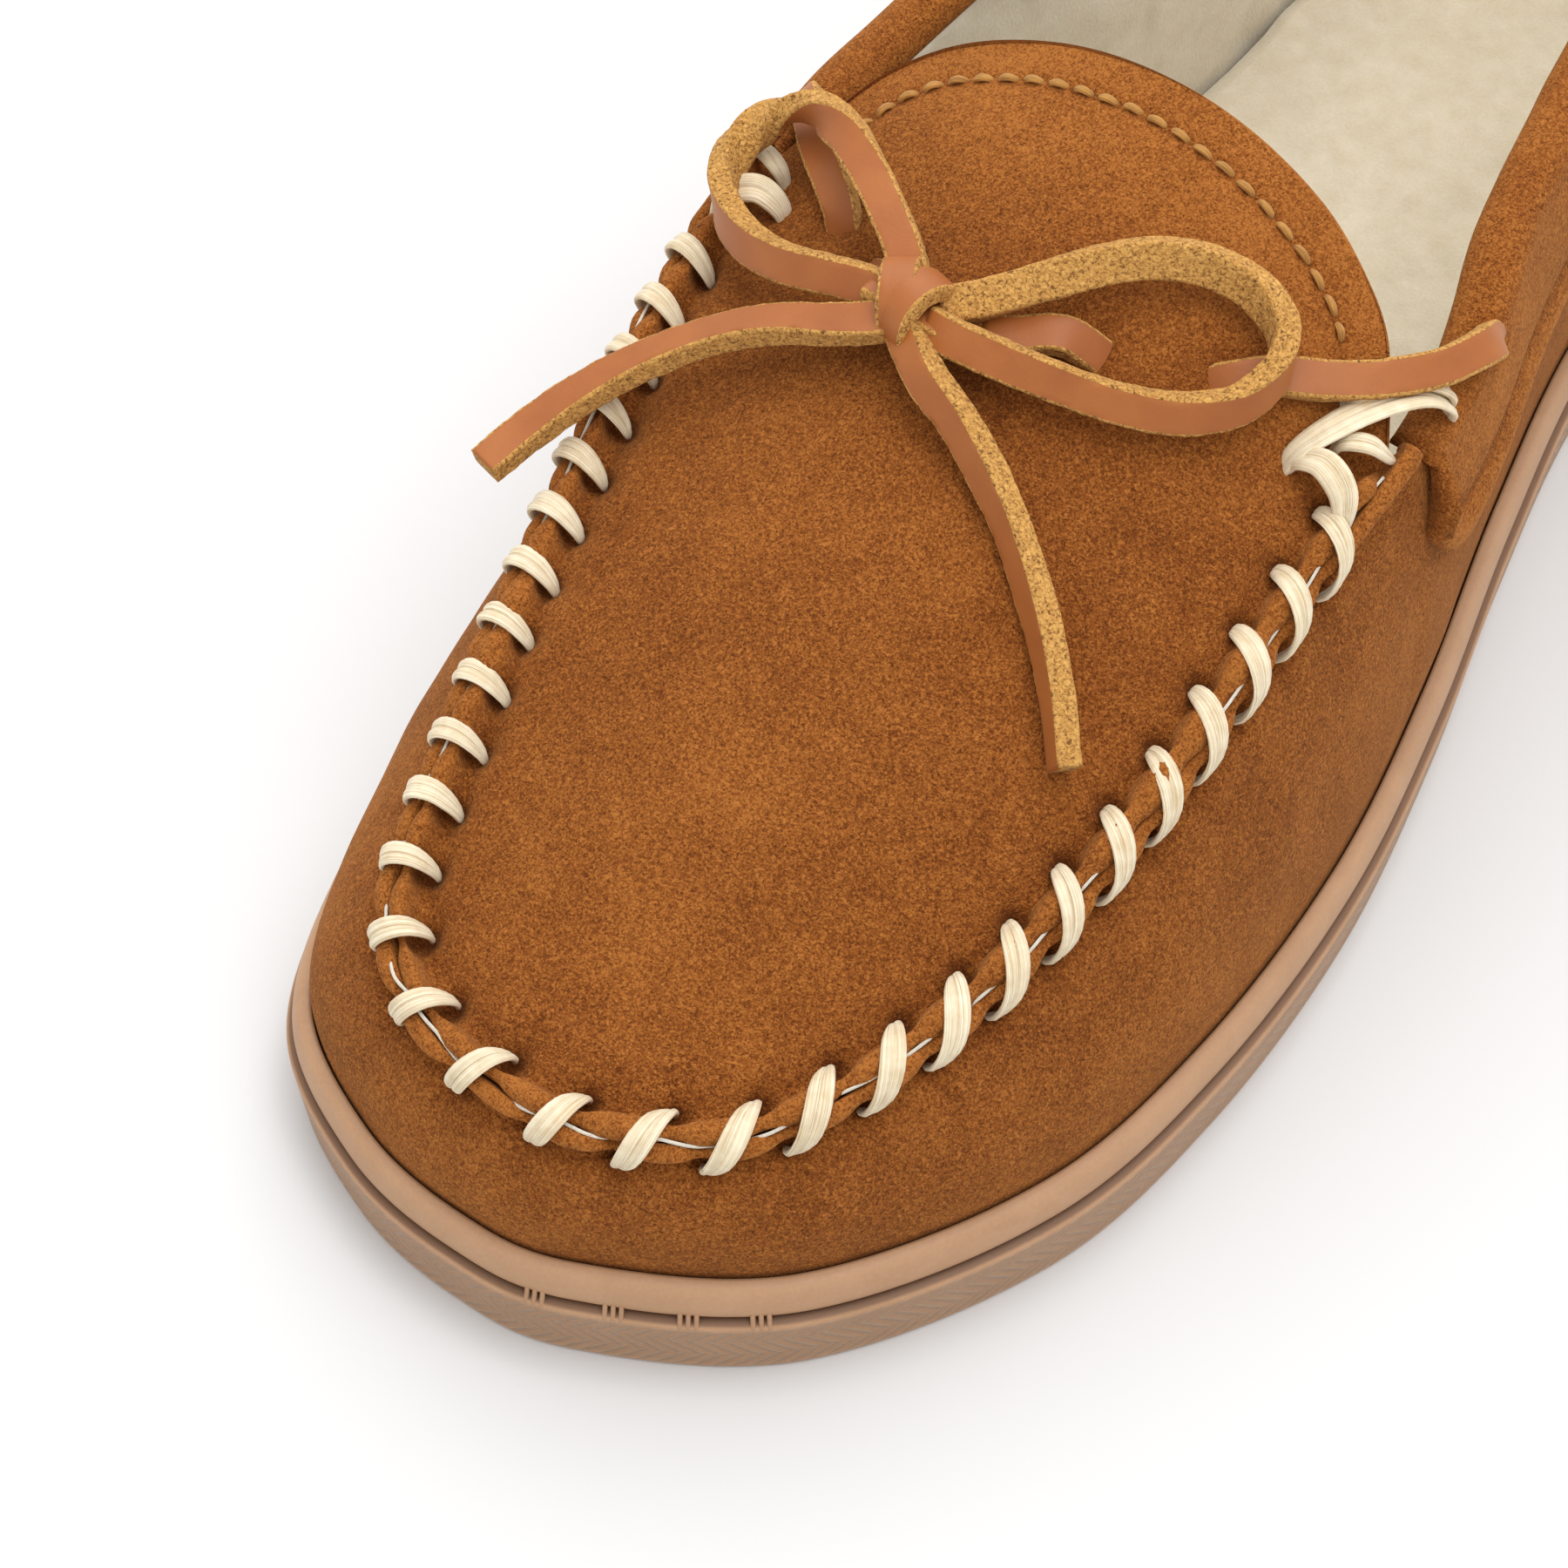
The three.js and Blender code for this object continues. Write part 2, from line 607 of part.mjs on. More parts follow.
// One spoke of the apron from its centre out: top surface, ridge or bare edge, underside.
function apronSpoke(edge) {
  const foot = edge.base.clone();
  if (edge.rise) foot.addScaledVector(sideDir(edge.out), -CLEARANCE / 2 - SUEDE);
  const top = [];
  for (let r = 1; r <= APRON_RINGS; r += 1) {
    const k = r / APRON_RINGS;
    const x = lerp(APRON_CENTRE[0], foot.x, k);
    const y = lerp(APRON_CENTRE[1], foot.y, k);
    const drift = foot.z - archHeight(foot.x, foot.y);
    top.push(new THREE.Vector3(x, y, archHeight(x, y) + drift * k ** 6));
  }
  const under = top.map((p) => new THREE.Vector3(p.x, p.y, p.z - APRON_SUEDE)).reverse();
  if (!edge.rise) {
    const lip = top[top.length - 1].clone().addScaledVector(edge.out, 0.1);
    return [...top, lip, lip.clone().setZ(lip.z - SUEDE), lip.clone().setZ(lip.z - SUEDE * 1.1), ...under];
  }
  const inner = foot.clone().addScaledVector(ridgeDir(edge.out), RIDGE_HEIGHT);
  const outer = inner.clone().addScaledVector(sideDir(edge.out), SUEDE);
  const heel = foot
    .clone()
    .addScaledVector(sideDir(edge.out), SUEDE)
    .addScaledVector(ridgeDir(edge.out), -SUEDE * 0.8);
  return [...top, inner, outer, heel, ...under];
}
// A closed body from spokes that all start at one middle point above and end at one below.
function spokeBody(spokes, above, below) {
  const n = spokes.length;
  const m = spokes[0].length;
  const at = [above, below, ...spokes.flat()].flatMap((p) => p.toArray());
  const faces = [];
  for (let i = 0; i < n; i += 1) {
    const j = (i + 1) % n;
    const [a, b] = [2 + i * m, 2 + j * m];
    faces.push(0, a, b);
    for (let k = 0; k < m - 1; k += 1) {
      faces.push(a + k, a + k + 1, b + k + 1, a + k, b + k + 1, b + k);
    }
    faces.push(1, b + m - 1, a + m - 1);
  }
  return facingOut(at, faces);
}
// The apron's middle, this far below its top surface.
const middle = (drop) => new THREE.Vector3(...APRON_CENTRE, archHeight(...APRON_CENTRE) - drop);
const APRON_SUEDE = SUEDE * 1.15; // measured straight down through the arch
const apronBody = () => spokeBody(EDGE.map(apronSpoke), middle(0), middle(APRON_SUEDE));
const APRON_LINING_INSET = 6.5;
const TONGUE_LINING_INSET = 2;
const CORNER_LINING_INSET = 11;
const LINING_RINGS = 5;
// The apron lining's edge in plan: further in at the seam's ends than along the seam and tongue.
function liningEdge() {
  const seamCount = SEAM_RINGS.length;
  return EDGE.map((edge, i) => {
    const fromCorner = edge.rise
      ? Math.min(i, seamCount - 1 - i)
      : Math.min(i - seamCount + 1, EDGE.length - i);
    const inset = edge.rise ? APRON_LINING_INSET : TONGUE_LINING_INSET;
    const away = smooth(0, edge.rise ? 3 : 5, fromCorner);
    return edge.base.clone().addScaledVector(edge.out, -lerp(CORNER_LINING_INSET, inset, away));
  });
}
function apronLining() {
  const drop = APRON_SUEDE + 2 * CLEARANCE;
  const along = (p, r, low) => {
    const x = lerp(APRON_CENTRE[0], p.x, r / LINING_RINGS);
    const y = lerp(APRON_CENTRE[1], p.y, r / LINING_RINGS);
    return new THREE.Vector3(x, y, archHeight(x, y) - low);
  };
  const outwards = stationRange(1, LINING_RINGS, LINING_RINGS - 1);
  const spokes = liningEdge().map((p) => [
    ...outwards.map((r) => along(p, r, drop)),
    ...outwards.map((r) => along(p, LINING_RINGS + 1 - r, drop + APRON_PILE)),
  ]);
  return spokeBody(spokes, middle(drop), middle(drop + APRON_PILE));
}

// ---------- whipped seam ----------
// A point beside the seam at station u: q across (outwards), e up the ridge.
function beside(u, q, e) {
  const s = section(u);
  const out = new THREE.Vector3(s.out[0], s.out[1], 0);
  return place(s, [0, s.top[2]])
    .addScaledVector(sideDir(out), q)
    .addScaledVector(ridgeDir(out), e);
}
const RIDGE_HALF = CLEARANCE / 2 + SUEDE;
const THREAD_OFF = RIDGE_HALF + CLEARANCE + THREAD / 2;
const THREAD_TOP = RIDGE_HEIGHT + CLEARANCE + THREAD / 2 + 0.5;
// One turn, from its hole in the apron's ridge over to its hole in the wrap's ridge and back
// through both: [across, up, share of the way to the wrap's hole].
const STITCH_TURN = [
  [-THREAD_OFF, STITCH_LEVEL, 0],
  [-THREAD_OFF - 0.3, STITCH_LEVEL + 1.7, 0.15],
  [-THREAD_OFF * 0.62, THREAD_TOP - 0.2, 0.35],
  [0, THREAD_TOP + 0.2, 0.5],
  [THREAD_OFF * 0.62, THREAD_TOP - 0.2, 0.65],
  [THREAD_OFF + 0.3, STITCH_LEVEL + 1.7, 0.85],
  [THREAD_OFF, STITCH_LEVEL, 1],
];
const TURN_STEPS = STITCH_TURN.length;
const SEAM_PAD = 0.3; // stations from the seam's end to the first stitch
const OUTER_SIDE_END = 9.5; // stations where the pitch and slant start and stop changing
const TOE_START = 12.5;
const TOE_END = 13.5;
const INNER_SIDE_START = 16;
// A value that differs along the outer side, round the toe and along the inner side.
function alongSeam(u, outer, toe, inner) {
  const first = lerp(outer, toe, smooth(OUTER_SIDE_END, TOE_START, u));
  return lerp(first, inner, smooth(TOE_END, INNER_SIDE_START, u));
}
// The stations of the holes in the apron's ridge, one pitch after another.
function stitchStations() {
  const step = 0.01;
  const stations = [SEAM_START + SEAM_PAD];
  let travelled = 0;
  for (let u = stations[0]; u < SEAM_END - SEAM_PAD; u += step) {
    travelled += beside(u, 0, 0).distanceTo(beside(u + step, 0, 0));
    if (travelled < alongSeam(u, PITCH_OUTER, PITCH_TOE, PITCH_INNER)) continue;
    stations.push(u + step);
    travelled = 0;
  }
  return stations;
}
const STITCH_STATIONS = stitchStations();
// How far along to the next stitch the hole in the wrap's ridge lies: the stitches slant.
const wrapHoleStation = (k) => {
  const [from, to] = [STITCH_STATIONS[k], STITCH_STATIONS[k + 1]];
  return lerp(from, to, alongSeam(from, 0.9, 0.4, 0.25));
};
const STITCHES = STITCH_STATIONS.length - 1;
function stitchPoint(index) {
  const k = Math.floor(index / TURN_STEPS);
  const [q, e, share] = STITCH_TURN[index % TURN_STEPS];
  return beside(lerp(STITCH_STATIONS[k], wrapHoleStation(k), share), q, e);
}
// The thread is followed hole by hole, so its rings sit at whole steps of its path.
function whipThread() {
  const points = Array.from({ length: STITCHES * TURN_STEPS }, (_, i) => stitchPoint(i));
  return tube(joined(points), THREAD, 6, points.length - 1);
}
function needleHoles() {
  const holes = [];
  for (let k = 0; k < STITCHES - 1; k += 1) {
    const a = beside(wrapHoleStation(k), THREAD_OFF, STITCH_LEVEL);
    const b = beside(STITCH_STATIONS[k + 1], -THREAD_OFF, STITCH_LEVEL);
    const reach = b.clone().sub(a).setLength(1);
    const path = new THREE.LineCurve3(a.sub(reach), b.add(reach));
    holes.push(tube(path, THREAD + 3.2 * CLEARANCE, HOLE_SIDES, 1));
  }
  return holes;
}
function seamCord() {
  const up = RIDGE_HEIGHT + SEAM_CORD / 2 + 0.15;
  const stations = ringsBetween(SEAM_START + 0.1, SEAM_END - 0.1);
  const steps = stations.length - 1;
  return tube(joined(stations.map((u) => beside(u, 0, up))), SEAM_CORD, 6, steps);
}

// ---------- tongue topstitch ----------
function tongueTopstitch() {
  const free = EDGE.slice(SEAM_RINGS.length - 2).concat(EDGE.slice(0, 2));
  const points = free.map((edge) => {
    const p = edge.base.clone().addScaledVector(edge.out, -TOPSTITCH_INSET);
    return new THREE.Vector3(p.x, p.y, archHeight(p.x, p.y) + CLEARANCE + TOPSTITCH / 2);
  });
  const curve = new THREE.CatmullRomCurve3(points.slice(4, -4));
  return tube(curve, TOPSTITCH, 6, 40);
}

// ---------- thong ----------
// Route points are [x, y, height above the arched top].
const scaled = (x, y, z) => new THREE.Vector3(x * SCALE_X, y * SCALE_Y, z);
const overApron = (route) => route.map(([x, y, lift]) => scaled(x, y, topHeight(x, y) + lift));
const STRAP_LATERAL = [
  [-33.4, 23.4, 2.7],
  [-29, 27.5, 2.2],
  [-24, 31, 1.5],
  [-20.5, 33.6, 0.1],
  [-17, 35.4, -3],
  [-13.5, 37, -3.7],
  [-10, 38.4, -3.3],
  [-6.8, 39.6, -0.6],
  [-3.6, 41, 1.6],
  [0.6, 43.6, 1.6],
  [3.8, 45.2, 1.6],
];
const STRAP_MEDIAL = [
  [40, 25.4, 2.9],
  [36, 29.6, 2.4],
  [32, 33, 1.7],
  [29, 35.4, 0.2],
  [26.4, 37.4, -3],
  [24, 39.2, -3.6],
  [21.8, 41, -2.6],
  [19.6, 42.8, 0.4],
  [17.6, 45.2, 2],
];
function apronNormal(x, y) {
  const d = 0.5;
  const dx = (archHeight(x + d, y) - archHeight(x - d, y)) / (2 * d);
  const dy = (archHeight(x, y + d) - archHeight(x, y - d)) / (2 * d);
  return new THREE.Vector3(-dx, -dy, 1).normalize();
}
const STRAP_STEPS = 30;
// The middle line of a woven strap, in equal steps.
function strapLine(start, route) {
  const curve = new THREE.CatmullRomCurve3([...start, ...overApron(route)]);
  return stationRange(0, 1, STRAP_STEPS).map((t) => curve.getPointAt(t));
}
// A strap along its middle line, made wider and thicker all round by extra for its slits.
function wovenStrap(line, extra = 0) {
  const ups = line.map((p) => apronNormal(p.x, Math.max(p.y, 10)));
  return strap(line, ups, THONG_WIDTH + extra, THONG_THICKNESS + extra);
}
// A point outside the suede wall: station, height, distance from the suede.
function outside(u, z, off) {
  const s = section(u);
  return place(s, atHeight(insetLine(wallLine(s), -off), z));
}
const IN_SLIT = CLEARANCE + THONG_THICKNESS / 2 + 0.8;
const OFF_CUFF = 2 * CLEARANCE + CUFF + THONG_THICKNESS / 2 + 1.1;
const START_LATERAL = [
  outside(6.6, 53.5, IN_SLIT),
  outside(6.71, 56.5, OFF_CUFF),
  scaled(-42.2, 12, 62.8),
  scaled(-38.2, 18, 66.6),
];
const START_MEDIAL = [
  outside(20.4, 54, IN_SLIT),
  outside(20.28, 57, OFF_CUFF),
  scaled(47.8, 12.2, 63.4),
  scaled(44.4, 18.6, 66.2),
];
const LATERAL_LINE = strapLine(START_LATERAL, STRAP_LATERAL);
const MEDIAL_LINE = strapLine(START_MEDIAL, STRAP_MEDIAL);

// The slit in the cuff where a strap comes out, along the strap's first stretch.
function cuffSlit(line) {
  const first = line.slice(0, 3);
  const before = first[0].clone().lerp(first[1], -1);
  return wovenStrap([before, ...first], 4 * CLEARANCE);
}

const KNOT_AT = [11.3, 47.6, 71.4];
const KNOT_SIZE = [5, 4.2, 3.5];
function laceKnot() {
  const g = new THREE.SphereGeometry(1, 16, 10);
  return g.scale(...KNOT_SIZE).translate(...scaled(...KNOT_AT));
}
// The bow's free thong, from the knot outwards: [x, y, z].
const LOOP_LATERAL = [
  [5.2, 43.4, 73.6],
  [0.5, 39.2, 75.2],
  [-4, 34.4, 76.4],
  [-8.8, 30.2, 76.8],
  [-14, 27.4, 76],
  [-19.4, 26.8, 74.6],
  [-23.6, 28.6, 73],
  [-25.4, 32.2, 72],
  [-24.2, 37, 70],
  [-20, 41.6, 69.6],
  [-14.2, 45, 70.4],
  [-7.6, 47.2, 71.4],
  [-1, 48.4, 72],
  [5, 49, 72.2],
];
const LOOP_MEDIAL = [
  [15.4, 43, 73.4],
  [20, 39.4, 74],
  [25.6, 35.4, 74.2],
  [31.6, 31.4, 73.4],
  [37.4, 29, 71.2],
  [42, 30, 68.2],
  [44, 33.8, 65.8],
  [43, 38.4, 64.6],
  [39.6, 42.4, 64.8],
  [34.4, 45.6, 66],
  [28.6, 47.2, 67.8],
  [22.8, 47.4, 69.8],
  [17.4, 47.2, 71.2],
];
const TAIL_LATERAL = [
  [8.2, 52.4, 71],
  [4.8, 54.2, 70.2],
  [0, 56, 69],
  [-5, 58.4, 67.2],
  [-10, 61.2, 65],
  [-15, 64.6, 62.2],
  [-19.8, 68.4, 59.2],
  [-24.4, 72.8, 56],
  [-28.6, 77.6, 52.6],
];
const TAIL_MEDIAL = [
  [15, 51.4, 70.4],
  [18.8, 52.8, 69.2],
  [24, 54.2, 67.2],
  [29.4, 56.4, 64.6],
  [34.4, 59.6, 61.6],
  [38.8, 63.8, 58.8],
  [42.2, 68.8, 56.4],
  [44.6, 74.2, 54.4],
  [46.2, 79.8, 53],
];
function freeThong(route) {
  const curve = new THREE.CatmullRomCurve3(route.map((p) => new THREE.Vector3(...p)));
  const steps = Math.max(6, Math.round(curve.getLength() / (2 * CORD_DIAMETER)));
  return tube(curve, CORD_DIAMETER, 8, steps);
}

// ---------- tie stitches from the seam's ends over the front of the cuff ----------
const TIE_DROP = 5; // below the top line, where the tie enters the cuff
const TIE_BACK = 0.16; // from the seam's end to the tie's hole in the apron, in stations
function cornerTie(seamEnd, cuffStation, forward) {
  const from = seamEnd + forward * TIE_BACK;
  const across = lerp(seamEnd, cuffStation, 0.35);
  const cuffFace = CLEARANCE + CUFF + CLEARANCE + THREAD / 2 + 0.3;
  const points = [
    beside(from, -THREAD_OFF - 0.9, STITCH_LEVEL + 0.9),
    beside(from, -THREAD_OFF * 0.6, THREAD_TOP + 0.3),
    beside(lerp(from, seamEnd, 0.6), THREAD_OFF * 0.6, THREAD_TOP),
    outside(across, topEdge(across)[2] - 1.5, cuffFace + 1.6),
    outside(cuffStation, topEdge(cuffStation)[2] - TIE_DROP, cuffFace),
  ];
  return tube(new THREE.CatmullRomCurve3(points), THREAD, 6, 12);
}

// ---------- the assembly ----------
const moccasin = new THREE.Group();
moccasin.name = "moccasin";
function add(name, geometry, color, roughness) {
  const material = new THREE.MeshStandardMaterial({ color, roughness, metalness: 0 });
  const mesh = new THREE.Mesh(geometry, material);
  mesh.name = name;
  moccasin.add(mesh);
}
const GUM = 0xb9916f;
const SUEDE_COLOUR = 0x965c26;
const PILE_COLOUR = 0xebe1cd;
const THREAD_COLOUR = 0xebdfbe;
const THONG_COLOUR = 0xc07a4c;

const slits = [wovenStrap(LATERAL_LINE, 2 * CLEARANCE), wovenStrap(MEDIAL_LINE, 2 * CLEARANCE)];
const cuffSlits = [cuffSlit(LATERAL_LINE), cuffSlit(MEDIAL_LINE)];
const holes = needleHoles();

add("outsole", outsole(), GUM, 0.65);
add("insole_board", plate(WALL_GAP, CUP_FLOOR + CLEARANCE, BOARD_TOP), 0xc9b08a, 0.9);
add("foam_footbed", plate(FLOOR_GAP, BOARD_TOP + CLEARANCE, FOAM_TOP), 0xe6dcc0, 0.95);
add("pile_sock", plate(FLOOR_GAP, FOAM_TOP + CLEARANCE, SOCK_TOP), PILE_COLOUR, 1);
add("vamp_wrap", cutBy(vampWrap(), holes), SUEDE_COLOUR, 0.95);
add("vamp_lining", vampLining(), PILE_COLOUR, 1);
add("quarter_lining", quarterLining(), PILE_COLOUR, 1);
add("heel_counter", heelCounter(), 0xd8cdb6, 0.8);
add("heel_backstay", heelBackstay(), SUEDE_COLOUR, 0.95);
add("apron", cutBy(apronBody(), [...holes, ...slits]), SUEDE_COLOUR, 0.95);
add("apron_lining", cutBy(apronLining(), slits), PILE_COLOUR, 1);
add("collar_cuff", cutBy(collarCuff(), cuffSlits), SUEDE_COLOUR, 0.95);
add("whip_thread", whipThread(), THREAD_COLOUR, 0.6);
add("seam_cord", seamCord(), 0xf2eee4, 0.7);
add("corner_tie_lateral", cornerTie(SEAM_START, CUFF_FRONT_OUTER - 0.14, 1), THREAD_COLOUR, 0.6);
add("corner_tie_medial", cornerTie(SEAM_END, CUFF_FRONT_INNER + 0.14, -1), THREAD_COLOUR, 0.6);
add("tongue_topstitch", tongueTopstitch(), 0xb98a3c, 0.7);
add("lace_strap_lateral", wovenStrap(LATERAL_LINE), THONG_COLOUR, 0.5);
add("lace_strap_medial", wovenStrap(MEDIAL_LINE), THONG_COLOUR, 0.5);
add("lace_knot", laceKnot(), THONG_COLOUR, 0.5);
add("lace_loop_lateral", freeThong(LOOP_LATERAL), THONG_COLOUR, 0.5);
add("lace_loop_medial", freeThong(LOOP_MEDIAL), THONG_COLOUR, 0.5);
add("lace_tail_lateral", freeThong(TAIL_LATERAL), THONG_COLOUR, 0.5);
add("lace_tail_medial", freeThong(TAIL_MEDIAL), THONG_COLOUR, 0.5);

export default moccasin;
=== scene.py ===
"""Looks of a left-foot moccasin slipper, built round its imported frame.

Every piece is a surface worked out in millimetres with numpy and put into a mesh in metres.
The shoe stands on z = 0, its toe points to +Y and its inner (medial) side to +X.
"""

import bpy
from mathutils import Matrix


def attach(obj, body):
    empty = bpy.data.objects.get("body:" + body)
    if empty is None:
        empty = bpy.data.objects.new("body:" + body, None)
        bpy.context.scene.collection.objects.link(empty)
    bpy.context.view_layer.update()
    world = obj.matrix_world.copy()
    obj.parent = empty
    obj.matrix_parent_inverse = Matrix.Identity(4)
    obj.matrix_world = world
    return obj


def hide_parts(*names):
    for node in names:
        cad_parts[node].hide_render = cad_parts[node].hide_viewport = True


bl_info = {
    "name": "Moccasin slipper",
    "version": (1, 0, 0),
    "blender": (4, 5, 0),
    "location": "3D View > Sidebar > Moccasin",
    "description": "Makes a whip-stitched suede moccasin with a pile lining and a gum sole",
    "category": "Add Mesh",
}

import bpy
import numpy as np
from bpy.props import FloatProperty, FloatVectorProperty, PointerProperty
from mathutils import Vector

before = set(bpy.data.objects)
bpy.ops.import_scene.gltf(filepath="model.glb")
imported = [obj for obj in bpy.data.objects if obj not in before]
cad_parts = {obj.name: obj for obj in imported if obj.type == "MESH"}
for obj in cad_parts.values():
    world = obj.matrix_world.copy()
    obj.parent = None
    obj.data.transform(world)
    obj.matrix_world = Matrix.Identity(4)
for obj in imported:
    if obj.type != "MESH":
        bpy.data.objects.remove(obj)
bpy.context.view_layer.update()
MM = 0.001

# ---------- sizes shared with the frame, in millimetres ----------
SOLE_TOP = 15.8
LIP_WIDTH = 3.0
LIP_HEIGHT = 4.2
GROOVE_HEIGHT = 1.2
CUP_FLOOR = 8.0
CLEARANCE = 0.3
SUEDE = 1.8
PILE = 4.0
PILE_TOP = 2.2
PILE_LUMPS = 0.55  # how far the linings' soft lumps stand in
COUNTER = 1.2
RIDGE_HEIGHT = 3.4
RIDGE_LEAN = np.radians(35.0)
CUFF = 2.0
CUFF_DROP = 17.0
CUFF_CORNER = 9.0  # length over which the cuff's front corners are rounded off
ARCH = 0.0085
ARCH_CENTRE = 2.5
SPINE = np.array(
    [[-10, 84], [10, 79], [35, 71.5], [60, 63.5], [90, 52], [110, 43], [131.5, 32.4], [145, 25]],
    float,
)
FRONT_TOP = 56.5
# Stations round the shoe from the heel along the outer side: sole edge x, y and top edge x, y, z.
STATIONS = np.array(
    [
        [0, -144, 0, -137, 77],
        [-20, -138.5, -15, -132.5, 76],
        [-32.5, -122, -24.5, -118, 74],
        [-35.8, -97, -27.5, -97, 71.5],
        [-35, -67, -27, -67, 69],
        [-35, -38, -27.5, -38, 67],
        [-40.2, -9, -31, -9, 63.5],
        [-47, 20, -37, 16, 57.5],
        [-51.5, 48, -36.8, 46, FRONT_TOP],
        [-51.5, 77, -35.6, 75, FRONT_TOP],
        [-46.4, 103, -31, 101, FRONT_TOP],
        [-30.6, 128.3, -21, 122, FRONT_TOP],
        [-9, 141.6, -7.5, 131.2, FRONT_TOP],
        [6, 143.9, 4.5, 132.8, FRONT_TOP],
        [22, 141, 17, 129.8, FRONT_TOP],
        [38, 131, 26.5, 121, FRONT_TOP],
        [46.2, 111.5, 31.2, 104, FRONT_TOP],
        [50.4, 86, 36, 82, FRONT_TOP],
        [51.9, 60, 40.6, 60, FRONT_TOP],
        [49.8, 34, 42.8, 37, FRONT_TOP],
        [45.6, 8, 43, 13, 58],
        [40.5, -20, 37, -18, 64.5],
        [37, -52, 30, -52, 68],
        [36, -92, 28, -92, 71],
        [32.5, -122, 24.5, -118, 74],
        [20, -138.5, 15, -132.5, 76],
    ],
    float,
)
TURN = len(STATIONS)
SEAM_START, SEAM_END, SEAM_FADE = 7.4, 19.35, 0.12
CUFF_FRONT_OUTER, CUFF_FRONT_INNER = 7.24, 19.62
LINING_JOIN_OUTER, LINING_JOIN_INNER = 7.2, 19.55
TONGUE_EDGE = np.array(
    [
        [39.8, 23], [36, 17], [30, 12.7], [18, 9.7], [4, 9],
        [-10, 10.3], [-22, 13.2], [-30, 17.3], [-33.8, 22],
    ],
    float,
)
APRON_CENTRE = np.array([2.0, 72.0])
TOPSTITCH_INSET = 5.0
APRON_THICK = SUEDE * 1.15
LINING_THICK = 3.0
PITCH_OUTER, PITCH_TOE, PITCH_INNER = 8.2, 10.2, 7.0
BOARD_TOP = CUP_FLOOR + CLEARANCE + 1.5
FOAM_TOP = BOARD_TOP + CLEARANCE + 6.0
SOCK_TOP = FOAM_TOP + CLEARANCE + 4.5
WALL_GAP = LIP_WIDTH + CLEARANCE + SUEDE + CLEARANCE
FLOOR_GAP = WALL_GAP + PILE + COUNTER + 2 * CLEARANCE


# ---------- small maths ----------
def lerp(a, b, t):
    """The point a share t of the way from a to b."""
    return a + (b - a) * t


def smooth(a, b, x):
    """0 up to a, 1 from b on, and 3t^2 - 2t^3 between, where t is the share of the way."""
    t = np.clip((x - a) / (b - a), 0, 1)
    return t * t * (3 - 2 * t)


def unit(v):
    """Each vector over its own length."""
    return v / np.maximum(np.linalg.norm(v, axis=-1, keepdims=True), 1e-9)


def bell(x, width):
    """exp(-(x / width)^2), a bump 1 high and about two widths across."""
    return np.exp(-((x / width) ** 2))


def around(knots, u):
    """Closed uniform Catmull-Rom spline through the knots at station u."""
    n = len(knots)
    w = np.mod(u, n)
    i = np.floor(w).astype(int) % n
    t = (w - np.floor(w))[..., None]
    a, b, c, d = (knots[(i + k) % n] for k in (-1, 0, 1, 2))
    t2, t3 = t * t, t * t * t
    ends = b * (2 * t3 - 3 * t2 + 1) + c * (3 * t2 - 2 * t3)
    return ends + (c - a) / 2 * (t3 - 2 * t2 + t) + (d - b) / 2 * (t3 - t2)


def through(points, count):
    """Rows at equal steps along a smooth curve through the given rows of x, y, z and more.
    Cubic Hermite pieces over the square root of chord length, with slopes from neighbours."""
    p = np.asarray(points, float)
    chord = np.linalg.norm(np.diff(p[:, :3], axis=0), axis=1)
    knot = np.concatenate([[0], np.cumsum(np.sqrt(np.maximum(chord, 1e-6)))])
    slope = np.gradient(p, knot, axis=0)
    fine = np.linspace(0, knot[-1], 40 * len(p))
    i = np.clip(np.searchsorted(knot, fine, side="right") - 1, 0, len(knot) - 2)
    w = (knot[i + 1] - knot[i])[:, None]
    t = (fine - knot[i])[:, None] / w
    t2, t3 = t * t, t * t * t
    q = p[i] * (2 * t3 - 3 * t2 + 1) + p[i + 1] * (3 * t2 - 2 * t3)
    q += w * (slope[i] * (t3 - 2 * t2 + t) + slope[i + 1] * (t3 - t2))
    run = np.concatenate([[0], np.cumsum(np.linalg.norm(np.diff(q[:, :3], axis=0), axis=1))])
    at = np.linspace(0, run[-1], count)
    return np.stack([np.interp(at, run, q[:, k]) for k in range(q.shape[1])], axis=1)


def lumps(p, size, seed):
    """Smooth random height from -1 to 1 at points p, in lumps of the given size in mm:
    a random value at each corner of a cubic lattice, eased between corners."""
    g = p / size + seed * 17.31
    cell = np.floor(g).astype(np.int64)
    t = g - cell
    t = t * t * (3 - 2 * t)
    total = np.zeros(p.shape[:-1])
    for corner in range(8):
        offset = np.array([corner & 1, (corner >> 1) & 1, (corner >> 2) & 1])
        k = cell + offset
        mixed = (k[..., 0] * 73856093) ^ (k[..., 1] * 19349663) ^ (k[..., 2] * 83492791)
        mixed = (mixed ^ (seed * 2654435)) & 0x7FFFFFFF
        mixed = (mixed * 1103515245 + 12345) & 0x7FFFFFFF
        value = ((mixed >> 8) & 0xFFFF) / 32767.5 - 1
        share = np.where(offset, t, 1 - t).prod(axis=-1)
        total += value * share
    return total


def nearest(p, q):
    """Distance from each point of p to the nearest point of q, in blocks to save memory."""
    flat = p.reshape(-1, 3)
    out = np.empty(len(flat))
    for i in range(0, len(flat), 8192):
        d = flat[i : i + 8192, None, :] - q[None]
        out[i : i + 8192] = np.sqrt((d * d).sum(-1)).min(1)
    return out.reshape(p.shape[:-1])


